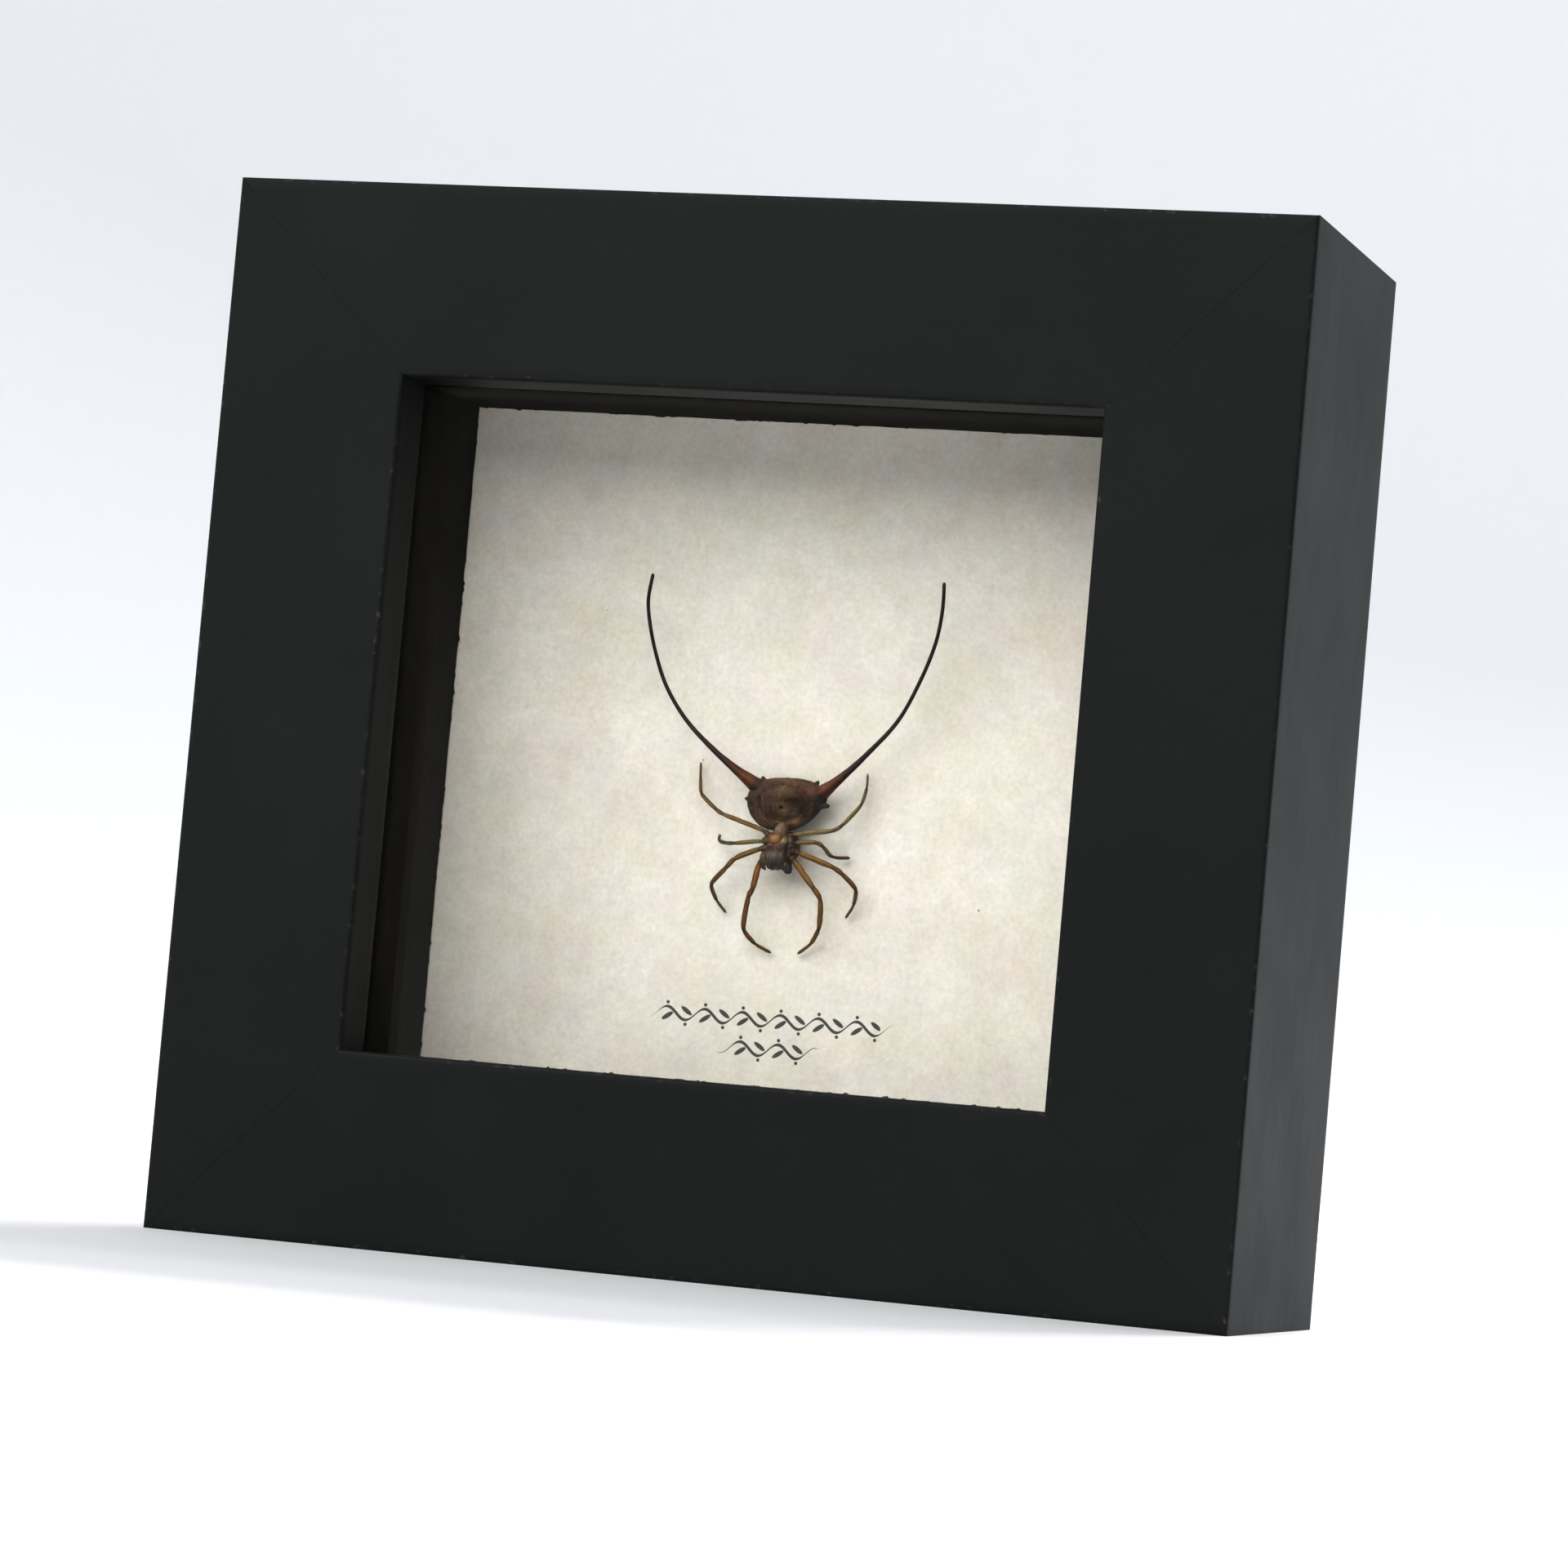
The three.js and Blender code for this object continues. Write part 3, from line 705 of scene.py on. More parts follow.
def fibreboard(settings):
    """Bare brown fibreboard: matted light and dark fibres, and a dull sheen where it was pressed."""
    def fill(nodes):
        place = nodes.place()
        cloud = nodes.group(blotches(), {"Place": place, "Scale": 70, "Contrast": 1.6})
        across = nodes.noise(nodes.stretch(place, (260, 1500, 2200)), 1.0, detail=4, roughness=0.7)
        upright = nodes.noise(nodes.stretch(place, (2200, 1500, 260)), 1.0, detail=4, roughness=0.7)
        fibres = nodes.calc("MAXIMUM", across, upright)
        dots = nodes.group(specks(), {"Place": place, "Scale": 420, "Size": 0.3, "Amount": 0.35})
        base = nodes.blend(nodes.between(fibres, 0.42, 0.72), scaled(settings.panel, 0.62),
                           scaled(settings.panel, 1.45))
        base = nodes.blend(nodes.between(cloud, 0, 1, 0, 0.3), base, settings.panel)
        return {
            "Base Color": nodes.blend(nodes.calc("MULTIPLY", dots, 0.5), base, scaled(settings.panel, 0.4)),
            "Roughness": nodes.between(fibres, 0.4, 0.7, 0.62, 0.85),
            "Normal": nodes.bump(fibres, 0.00005),
        }
    return finished("brown fibreboard", fill)


def plated_steel(settings):
    """Stamped steel with a thin bright plating, fine drawn lines and a few dull spots."""
    def fill(nodes):
        place = nodes.place()
        lines = nodes.noise(nodes.stretch(place, (500, 3000, 5000)), 1.0, detail=3)
        dull = nodes.group(blotches(), {"Place": place, "Scale": 700, "Contrast": 2.5})
        return {
            "Base Color": nodes.blend(dull, settings.steel, scaled(settings.steel, 0.6)),
            "Metallic": 1.0,
            "Roughness": nodes.between(nodes.calc("ADD", lines, dull), 0.4, 1.5, 0.24, 0.5),
            "Normal": nodes.bump(lines, 0.000012),
        }
    return finished("plated steel", fill)


def cuticle(name, gloss, shine, grain_scale, relief, variation):
    """Dried cuticle. Its colour is the mesh's own tone, broken up by patches, with a wet or dull shine."""
    def fill(nodes):
        place = nodes.place()
        tone = nodes.attribute("tone", "Color")
        patch = nodes.group(blotches(), {"Place": place, "Scale": grain_scale * 0.3, "Contrast": 2.2})
        tooth = nodes.group(grain(), {"Place": place, "Scale": grain_scale, "Fineness": 0.45})
        light = nodes.blend(1.0, tone, (1 + variation,) * 3, mode="MULTIPLY")
        dark = nodes.blend(1.0, tone, (1 - variation,) * 3, mode="MULTIPLY")
        uneven = nodes.calc("MULTIPLY", nodes.calc("ADD", patch, tooth), 0.5)
        return {
            "Base Color": nodes.blend(uneven, dark, light),
            "Roughness": nodes.between(patch, 0, 1, gloss, gloss + 0.18),
            "Specular IOR Level": shine,
            "Normal": nodes.bump(tooth, relief * MM),
        }
    return finished(name, fill)


# Frame pieces


def make_rails(settings):
    """Four rails: an outline with a lip in front and a rabbet behind it, its edges softened, carried along
    each side of the ring."""
    wall = MOULDING_WIDTH - RABBET_WIDTH
    depth = BACK_Y - FRONT_Y
    edge = settings.edge_radius / MM
    corners = [(0, 0), (MOULDING_WIDTH, 0), (MOULDING_WIDTH, LIP_DEPTH), (wall, LIP_DEPTH), (wall, depth),
               (0, depth)]
    radii = [edge, edge, edge * 0.6, 0.05, edge, settings.back_radius / MM]
    outline, worn = softened(corners, radii)
    paint = black_paint(settings)
    for side in SIDES:
        grid, bar = bar_grid(side, FRAME_WIDTH, FRAME_HEIGHT, outline, FRONT_Y, np.linspace(-1, 1, 24))
        values = {"edge": np.broadcast_to(worn, grid.shape[:2]), "bar": bar}
        skin = surface(grid, poles=False, values=values)
        put(f"rail_{side}_painted", [skin], paint, [f"rail_{side}"], crease=30)


def make_liners(settings):
    """Four liner strips. Their inner face waves by noise, and close to the card crumbs of it reach over the
    card's edge where the noise along the strip is high."""
    thickness = (LINER_HIGH - LINER_LOW)[2]
    depth = (LINER_HIGH - LINER_LOW)[1]
    face = np.linspace(0.35, depth - 0.12, 34)
    outline = np.vstack([[(0, 0.1), (0.1, 0)], [(thickness - 0.25, 0), (thickness - 0.07, 0.07)],
                         np.stack([np.full_like(face, thickness), face], axis=1),
                         [(thickness - 0.1, depth), (0.1, depth), (0, depth - 0.1)]])
    strip = liner_strip(settings)
    inner = outline[:, 0] > thickness - 0.3
    stations = np.linspace(-1, 1, 340)
    for number, side in enumerate(SIDES):
        grid, bar = bar_grid(side, SHEET_WIDTH, SHEET_HEIGHT, outline, LINER_LOW[1], stations)
        wave = layered_noise(grid, 2.4, seed=number) * settings.wall_unevenness / MM
        flat = np.zeros(grid.shape[:2])
        along = np.stack([bar[..., 0] / MM, flat + 7.0 * number, flat], axis=-1)
        crumbs = smooth_step(0.1, 0.9, layered_noise(along, 0.7, seed=20 + number))
        crumbs = crumbs * settings.ragged_edge / MM
        near_card = smooth_step(depth - 0.8, depth - 0.15, outline[:, 1])
        push = (wave + crumbs * near_card) * inner
        turn = {"bottom": (0, 1), "right": (-1, 0), "top": (0, -1), "left": (1, 0)}[side]
        grid[1:-1, :, 0] += turn[0] * push[1:-1]
        grid[1:-1, :, 2] += turn[1] * push[1:-1]
        skin = surface(grid, poles=False, values={"bar": bar})
        put(f"liner_{side}_strip", [skin], strip, [f"liner_{side}"], crease=40)


def slab(low, high, step, waviness=0.0, seed=0, softening=0.12):
    """A flat sheet facing -Y between two corners: rows run over the front and back faces at each step
    across, and noise waves both faces alike."""
    across = np.concatenate([[low[0]], np.arange(low[0] + softening, high[0] - softening, step),
                             [high[0] - softening, high[0]]])
    up = np.concatenate([np.arange(low[2] + softening, high[2] - softening, step), [high[2] - softening]])
    front = np.stack([np.full_like(up, low[1]), up], axis=1)
    back = np.stack([np.full_like(up, high[1]), up[::-1]], axis=1)
    cap_top = [(low[1] + softening, high[2]), (high[1] - softening, high[2])]
    cap_bottom = [(high[1] - softening, low[2]), (low[1] + softening, low[2])]
    loop = np.vstack([front, cap_top, back, cap_bottom])
    axes = np.broadcast_arrays(across[:, None], loop[None, :, 0], loop[None, :, 1])
    grid = np.stack(axes, axis=-1)
    middle = (low + high) / 2
    for row in (0, -1):
        grid[row, :, 1] += np.sign(middle[1] - grid[row, :, 1]) * softening
        grid[row, :, 2] += np.sign(middle[2] - grid[row, :, 2]) * softening
    flat = grid * np.array([1, 0, 1])
    grid[..., 1] += waviness * layered_noise(flat, 24, seed=seed)
    return surface(grid, poles=False)


def make_card(settings):
    """The card: a thin sheet with a slight cockle."""
    sheet = slab(CARD_LOW, CARD_HIGH, step=0.9, waviness=settings.card_cockle / MM, seed=5)
    put("card_paper", [sheet], cream_card(settings), ["card"], crease=40)


def make_backing(settings):
    """The fibreboard panel that closes the back, and the finish of the mount board inside."""
    sheet = slab(PANEL_LOW, PANEL_HIGH, step=2.0, waviness=0.05, seed=9, softening=0.3)
    put("back_panel_board", [sheet], fibreboard(settings), ["back_panel"], crease=40)
    refinish("mount_board", pale_board(settings))


def refinish(node, material):
    """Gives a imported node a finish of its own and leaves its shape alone."""
    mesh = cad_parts[node].data
    mesh.materials.clear()
    mesh.materials.append(material)


def make_points(settings):
    """Eight framing points. Each is a thin blade whose half width is full up to its shoulder and falls as
    the square root of what is left to the tip, with a long diamond section."""
    steel = plated_steel(settings)
    blade, shoulder, thickness = 9.0, 5.4, 0.6
    for number in range(1, 9):
        low, high = box_mm(f"point_{number}")
        middle = (low + high) / 2
        width = min(high[0] - low[0], high[2] - low[2])
        inward = unit(np.array([-middle[0], 0, CENTRE_Z - middle[2]]) * (high - low > width + 0.1))
        across = np.cross(inward, [0, 1, 0])
        along = np.concatenate([[0.0, 0.1], np.linspace(0.3, shoulder, 8),
                                np.linspace(shoulder, blade, 14)[1:]])
        half = width / 2 * np.sqrt(np.clip((blade - along) / (blade - shoulder), 0.0004, 1))
        angle = np.linspace(0, 2 * np.pi, 20, endpoint=False)
        flat = np.sign(np.cos(angle)) * np.abs(np.cos(angle)) ** 0.5
        thick = np.sign(np.sin(angle)) * np.abs(np.sin(angle)) ** 0.5 * thickness / 2
        start = middle - inward * blade / 2
        grid = (start + along[:, None, None] * inward + half[:, None, None] * flat[None, :, None] * across
                + thick[None, :, None] * np.array([0, 1, 0]))
        put(f"point_{number}_blade", [surface(grid)], steel, [f"point_{number}"])


def make_hanger(settings):
    """Sawtooth hanger: a strip whose lower edge is a triangle wave, with both ends pressed down to the
    panel and held by a domed nail."""
    low, high = HANGER_LOW, HANGER_HIGH
    half, foot, tooth_count, tooth_depth, thickness = high[0], 6.0, 12, 2.0, 0.8
    toothed = half - foot
    across = np.unique(np.concatenate([np.linspace(-half, half, 45),
                                       np.linspace(-toothed, toothed, 8 * tooth_count + 1)]))
    phase = (across + toothed) / (2 * toothed / tooth_count)
    tooth = np.where(np.abs(across) < toothed, 1 - np.abs(2 * (phase % 1) - 1), 0) * tooth_depth
    raised = smooth_step(half - 0.35 * foot, toothed - 1.2, np.abs(across))
    inner = low[1] + raised * (high[1] - low[1] - thickness)
    share_up = np.array([0.04, 0.3, 0.7, 0.96, 1, 1, 0.96, 0.7, 0.3, 0.04, 0, 0])
    share_out = np.array([1, 1, 1, 1, 0.85, 0.15, 0, 0, 0, 0, 0.15, 0.85])
    bottom = low[2] + tooth
    up = bottom[:, None] + share_up * (high[2] - bottom)[:, None]
    out = inner[:, None] + share_out * thickness
    grid = np.stack([np.broadcast_to(across[:, None], up.shape), out, up], axis=-1)
    strips = [surface(grid, poles=False)]
    for end in (-1, 1):
        nail = lathe([(1.25, -thickness - 0.01), (1.3, 0.05), (1.15, 0.28), (0.8, 0.42), (0.35, 0.5)], 28)
        centre = np.array([end * (half - foot * 0.42), low[1] + thickness, (low[2] + high[2]) / 2])
        strips.append(surface(np.stack([nail[..., 0], nail[..., 2], nail[..., 1]], axis=-1) + centre))
    put("hanger_strip", strips, plated_steel(settings), ["hanger"], crease=30)


# Spider


# Abdomen in the card's frame: its middle, the lift of its edge, its depth behind and before it, its bulge
ABDOMEN_CENTRE = np.array([1.75, -5.7])
EDGE_LIFT = 2.6
BACK_DEPTH = 2.3
FRONT_DEPTH = 1.1
BULGE_HEIGHT = 2.6
BULGE_REACH = 0.74
SHIELD_OUTLINE = [
    (1.8, -2.9), (3.4, -2.97), (4.7, -3.2), (5.7, -3.7), (6.45, -4.5), (6.5, -5.3), (5.95, -6.2),
    (4.9, -7.5), (3.9, -8.3), (2.8, -8.8), (1.6, -9), (0.3, -9), (-0.7, -8.85), (-1.5, -8.4),
    (-2.2, -7.7), (-2.75, -6.8), (-2.95, -5.9), (-2.95, -5.1), (-2.6, -4.3), (-1.7, -3.55),
    (-0.7, -3.2), (0.5, -3),
]
SPINNERET = np.array([2.17, -6.44])

# Marks on the abdomen: the oval furrow, its folds, the pits on an oval round it, and two plates
DISC_CENTRE = (1.55, -5.75)
DISC_RADII = (2.85, 2.1)
FOLD_SPACING = 0.42
PIT_CENTRE = (1.85, -5.85)
PIT_OVAL = (3.1, 2.2)
PIT_BEARINGS = (8, 38, 62, 96, 122, 150, 172, 204, 228, 318, 342)
PIT_RADIUS = 0.17
PLATE_CENTRES = ((1.2, -8.0), (2.7, -8.0))

# Centre lines of the long spines, from deep inside the abdomen to the tip
LONG_SPINES = {
    "left": [(-0.6, -5.1, 1.5), (-1.6, -4.4, 2.2), (-2.7, -3.6, 2.75), (-4.6, -2.3, 3.3), (-7, -0.5, 3.8),
             (-10.6, 2.8, 4.4), (-13.2, 6.5, 5), (-14.7, 10.3, 5.6), (-15.5, 13.7, 6.3), (-15.8, 16.3, 6.7),
             (-15.4, 19.4, 7)],
    "right": [(4, -5.6, 1.5), (5.2, -4.8, 2.2), (6.4, -4, 2.75), (8.4, -2.4, 3.3), (11.3, 0.4, 3.8),
              (14.8, 4.4, 4.4), (17.2, 9, 5.1), (18.9, 13.5, 5.9), (19.55, 17.1, 6.6), (19.6, 20.3, 7)],
}
# A long spine's radius at its tip, what it gains towards its root, and the root's own swelling
SPINE_RADIUS = 0.21
SPINE_TAPER = 0.03
ROOT_SWELLING = 0.95
ROOT_START = 0.04
ROOT_FADE = 0.1
# Root and tip of each short spine
SHORT_SPINES = [
    [(-0.8, -4, 2.6), (-1.5, -2.9, 2.5)],
    [(4.7, -4, 2.6), (5.4, -3, 2.5)],
    [(-1.8, -5.7, 2.6), (-3.4, -5.6, 2.5)],
    [(5.6, -5.8, 2.6), (7, -5.8, 2.5)],
]

# Joints of each leg, from the hip to the foot
LEGS = {
    "right_1": [(2.6, -11.8, 2.9), (3.4, -12.4, 3.1), (6.2, -15.4, 3.6), (7.05, -16.5, 3.3),
                (6.85, -19.9, 2.1), (5.75, -21.7, 1.2), (4, -23, 0.6)],
    "right_2": [(3, -11.2, 2.9), (4, -11.5, 3.1), (8.5, -12.9, 3.6), (9.4, -13.5, 3.3), (10.9, -15.1, 2.2),
                (10.5, -16.9, 1.3), (9.4, -18.5, 0.6)],
    "right_3": [(2.6, -10.4, 2.9), (3.4, -10.3, 3), (6, -10.1, 3.1), (6.7, -10.5, 2.9), (7.5, -11.6, 1.9),
                (9.4, -11.5, 0.7)],
    "right_4": [(2, -10, 2.9), (3, -9.4, 3), (8.1, -8.6, 3.5), (8.8, -8, 3.2), (10.6, -5.4, 2.1),
                (10.8, -3.4, 1.2), (10.6, -1.6, 0.6)],
    "left_1": [(0.2, -12.2, 2.9), (-0.7, -13, 3.1), (-1.1, -16, 3.6), (-1.6, -16.8, 3.3),
               (-2.3, -20.7, 2.1), (-1.05, -22.2, 1.2), (0.9, -23.1, 0.6)],
    "left_2": [(0.2, -11.2, 2.9), (-0.8, -11.3, 3.1), (-3.7, -12.7, 3.5), (-4.6, -13.7, 3.2),
               (-6.7, -15.8, 2.1), (-6.15, -17.5, 1.2), (-5, -18.9, 0.6)],
    "left_3": [(0.2, -10.5, 2.9), (-0.6, -10.4, 3), (-4.1, -10.9, 3), (-5.2, -10.9, 2.6), (-6.2, -10.7, 2),
               (-6.5, -9.9, 0.9)],
    "left_4": [(0.6, -10, 2.9), (-0.5, -9.2, 3.1), (-5.6, -7.6, 3.6), (-6.4, -7.2, 3.3), (-8.8, -5.4, 2.2),
               (-9.4, -3.4, 1.2), (-9.7, -1.6, 0.6)],
}
# Each leg's thickness and its colour as seen
LEG_LOOKS = {
    "right_1": (0.84, (120, 82, 28)), "right_2": (0.76, (114, 80, 36)), "right_3": (0.64, (112, 88, 52)),
    "right_4": (0.64, (130, 110, 66)), "left_1": (0.84, (116, 74, 22)), "left_2": (0.76, (108, 82, 34)),
    "left_3": (0.58, (110, 94, 42)), "left_4": (0.66, (120, 88, 44)),
}
# Greatest radius of each segment from the hip on, how far it narrows at a joint, and how early a joint bends
SEGMENT_RADII = np.array([0.48, 0.42, 0.38, 0.37, 0.31, 0.22])
JOINT_PINCH = 0.28
KNEE_BEND = 0.3
HIP_RADII = np.array([0.8, 0.5, 0.55])
# Where bristles stand, as shares of a leg's length, and how far they lean outwards and along
BRISTLED = (0.08, 0.97)
BRISTLE_LEAN = (0.75, 0.66)

# Masses of the head and chest: centre, radii, turn, and the depth and size of the folds
BODY_MASSES = {
    "chest": ((1.5, -10.8, 2.3), (1.75, 1.95, 1.8), 0, 0.08, 0.9),
    "chest side": ((2.75, -10.75, 2.4), (0.95, 1.55, 1.15), 0.1, 0.13, 0.5),
    "breast plate": ((1.25, -10.15, 3.35), (1.0, 0.8, 0.95), 0, 0.07, 0.5),
    "left plate corner": ((0.7, -10.85, 3.2), (0.62, 0.5, 0.85), 0.4, 0.06, 0.4),
    "right plate corner": ((1.9, -10.8, 3.3), (0.6, 0.5, 0.75), -0.4, 0.06, 0.4),
    "right hip knob": ((2.3, -10.35, 3.5), (0.42, 0.4, 0.55), 0.4, 0.06, 0.3),
    "left hip knob": ((-0.05, -10.3, 2.9), (0.62, 0.55, 0.7), 0.3, 0.06, 0.4),
    "head": ((1.3, -12.2, 2.8), (1.62, 1.36, 1.62), 0, 0.05, 0.7),
    "left jaw": ((0.8, -12.25, 3.35), (0.95, 1.05, 0.98), 0.2, 0.045, 0.5),
    "right jaw": ((1.85, -12.2, 3.3), (0.95, 1.0, 0.98), -0.25, 0.045, 0.5),
    "lip": ((1.3, -11.55, 3.45), (0.75, 0.35, 0.6), 0.05, 0.06, 0.3),
    "left jaw skirt": ((-0.18, -12.3, 2.9), (0.52, 0.85, 0.7), 0.1, 0.07, 0.3),
    "fang base": ((0.85, -13.15, 3.3), (0.6, 0.42, 0.62), 0.15, 0.05, 0.35),
    "right palp base": ((2.5, -13.0, 3.0), (0.6, 0.7, 0.75), 0.3, 0.08, 0.4),
}
# Tapered tubes of the head and chest: centre line, and the radii of its start and end
BODY_TUBES = {
    "right palp": ([(2.5, -12.7, 3.1), (2.8, -13.3, 3.2), (2.7, -13.95, 2.9)], 0.5, 0.42),
    "left palp": ([(0.1, -12.4, 3), (-0.35, -13.1, 3.0), (0, -13.7, 2.7)], 0.34, 0.18),
    "left fang": ([(0.75, -13.35, 3.6), (1.1, -13.6, 3.6), (1.45, -13.45, 3.6)], 0.17, 0.04),
    "right fang": ([(1.75, -13.1, 3.6), (1.8, -13.5, 3.6), (1.5, -13.65, 3.5)], 0.17, 0.04),
    "waist": ([(1.85, -7.5, 2.0), (1.7, -8.5, 2.75), (1.4, -9.8, 3.1)], 0.8, 0.62),
    "left waist ridge": ([(1.3, -8.0, 2.55), (1.2, -8.8, 3.15), (1.05, -9.7, 3.35)], 0.28, 0.34),
    "right waist ridge": ([(2.2, -8.1, 2.55), (2.05, -8.8, 3.15), (1.8, -9.7, 3.3)], 0.26, 0.3),
    "middle waist ridge": ([(1.75, -7.9, 2.65), (1.62, -8.8, 3.3), (1.45, -9.6, 3.45)], 0.2, 0.26),
}

# Colours painted by place: a name, the centre right and up, half sizes, the colour as seen, the strength
ABDOMEN_PATCHES = [
    ("rear rim", (1.75, -3.2), (4.4, 0.75), (84, 58, 47), 0.85),
    ("olive patch", (1.75, -3.1), (1.1, 0.55), (104, 82, 54), 0.9),
    ("left shoulder", (-1.9, -4.2), (0.9, 0.7), (52, 38, 31), 0.8),
    ("right shoulder", (5.3, -4.2), (1.2, 0.6), (88, 60, 52), 0.8),
    ("left panel", (-0.1, -4.7), (1.2, 0.6), (64, 50, 46), 0.85),
    ("right panel", (3.9, -4.0), (1.0, 0.5), (96, 66, 58), 0.75),
    ("middle column", (2.0, -4.5), (0.8, 0.8), (92, 74, 57), 0.8),
    ("pale streak", (1.75, -4.1), (0.22, 0.5), (124, 98, 80), 0.7),
    ("left dark bar", (0.7, -5.55), (0.85, 0.3), (48, 34, 30), 0.9),
    ("right dark bar", (3.1, -5.6), (1.0, 0.35), (44, 32, 28), 0.9),
    ("rosy side", (1.0, -6.4), (0.7, 0.5), (84, 62, 55), 0.8),
    ("tan round spinneret", (2.45, -6.85), (0.9, 0.65), (140, 114, 86), 0.92),
    ("pale fleck", (3.0, -7.15), (0.35, 0.22), (112, 90, 80), 0.8),
    ("left wrinkles", (-0.2, -7.6), (0.9, 0.75), (84, 65, 47), 0.85),
    ("lower plate", (1.6, -8.0), (1.2, 0.45), (118, 92, 62), 0.85),
    ("yellow spot", (3.2, -7.9), (0.5, 0.32), (146, 112, 76), 0.9),
    ("left pit zone", (-1.3, -6.0), (0.3, 0.55), (40, 31, 26), 0.8),
    ("right furrow", (4.2, -6.6), (0.4, 0.6), (42, 31, 24), 0.8),
    ("grey side", (5.0, -6.6), (0.6, 0.7), (64, 58, 48), 0.75),
    ("dark front edge", (3.6, -8.9), (1.6, 0.5), (36, 26, 17), 0.85),
    ("left flank shade", (-2.6, -6.2), (0.9, 1.7), (46, 42, 37), 0.9),
    ("right flank shade", (6.1, -5.6), (1.0, 1.6), (32, 30, 23), 0.9),
]
BODY_PATCHES = [
    ("waist", (1.55, -8.7), (0.75, 1.0), (140, 112, 90), 0.97),
    ("orange plate", (1.25, -10.15), (0.9, 0.6), (148, 104, 60), 0.95),
    ("plate core", (1.15, -10.05), (0.35, 0.3), (176, 122, 68), 0.8),
    ("rusty corner", (0.75, -10.85), (0.55, 0.35), (88, 60, 48), 0.85),
    # The chest's dark right side is dark brown cuticle with painted shade, as it lies away from the light
    ("dark right side", (3.1, -10.7), (0.95, 1.8), (40, 28, 22), 0.97),
    ("plum bloom", (3.0, -10.2), (0.3, 0.7), (66, 50, 45), 0.6),
    ("pale spot", (2.3, -10.2), (0.4, 0.34), (160, 138, 104), 0.92),
    ("left hips", (-0.3, -10.4), (0.6, 0.9), (74, 66, 32), 0.85),
    ("jaws", (1.3, -12.3), (1.35, 1.0), (70, 65, 56), 0.97),
    ("jaw core", (1.45, -12.3), (0.55, 0.5), (58, 56, 51), 0.85),
    ("left jaw skirt", (-0.15, -12.4), (0.4, 0.9), (92, 76, 54), 0.9),
    ("violet spot", (0.85, -13.2), (0.5, 0.35), (46, 38, 42), 0.95),
    ("green stub", (2.75, -13.4), (0.65, 0.85), (40, 38, 24), 0.97),
]


def paint_patches(base, x, y, patches):
    """Blends each patch into the base colour by its strength times exp of minus the squared scaled
    distance, and gives the cuticle's own colour for what is seen."""
    tone = np.broadcast_to(np.asarray(base, float), x.shape + (3,)).copy()
    for _, (cx, cy), (rx, ry), screen, strength in patches:
        weight = strength * np.exp(-(((x - cx) / rx) ** 2 + ((y - cy) / ry) ** 2))
        tone += weight[..., None] * (np.array(srgb(*screen)) - tone)
    return as_lit(tone)


def toned_skin(grid, tone):
    """A closed skin over a grid in the card's frame, with a colour at each point. A colour attribute has a
    fourth value, which is 1 all over."""
    tone = np.clip(tone, 0, 1)
    tone = np.concatenate([tone, np.ones(tone.shape[:-1] + (1,))], axis=-1)
    return surface(on_card(grid), values={"tone": tone})


def shield_grid(back_rows=44, front_rows=130, around=300):
    """The abdomen as a shield seen from below. With slope v from -90 to 90 degrees, a point is the outline
    times cos v, lifted by sin v times the depth behind or before the edge, and the front also rises by the
    bulge, (1 - (cos v / reach)^2)^2 where that is positive."""
    outline = spline(SHIELD_OUTLINE, 24, closed=True) - ABDOMEN_CENTRE
    outline = even_steps(np.vstack([outline, outline[:1]]), around + 1)[:-1]
    slope = np.concatenate([np.linspace(-np.pi / 2, 0, back_rows, endpoint=False)[1:],
                            np.linspace(0, np.pi / 2, front_rows, endpoint=False)])
    reach = np.cos(slope)
    bulge = np.clip(1 - (reach / BULGE_REACH) ** 2, 0, None) ** 2
    lift = np.where(slope > 0, EDGE_LIFT + FRONT_DEPTH * np.sin(slope) + BULGE_HEIGHT * bulge,
                    EDGE_LIFT + BACK_DEPTH * np.sin(slope))
    flat = ABDOMEN_CENTRE + outline[None] * reach[:, None, None]
    return np.concatenate([flat, np.broadcast_to(lift[:, None, None], flat.shape[:2] + (1,))], axis=-1)


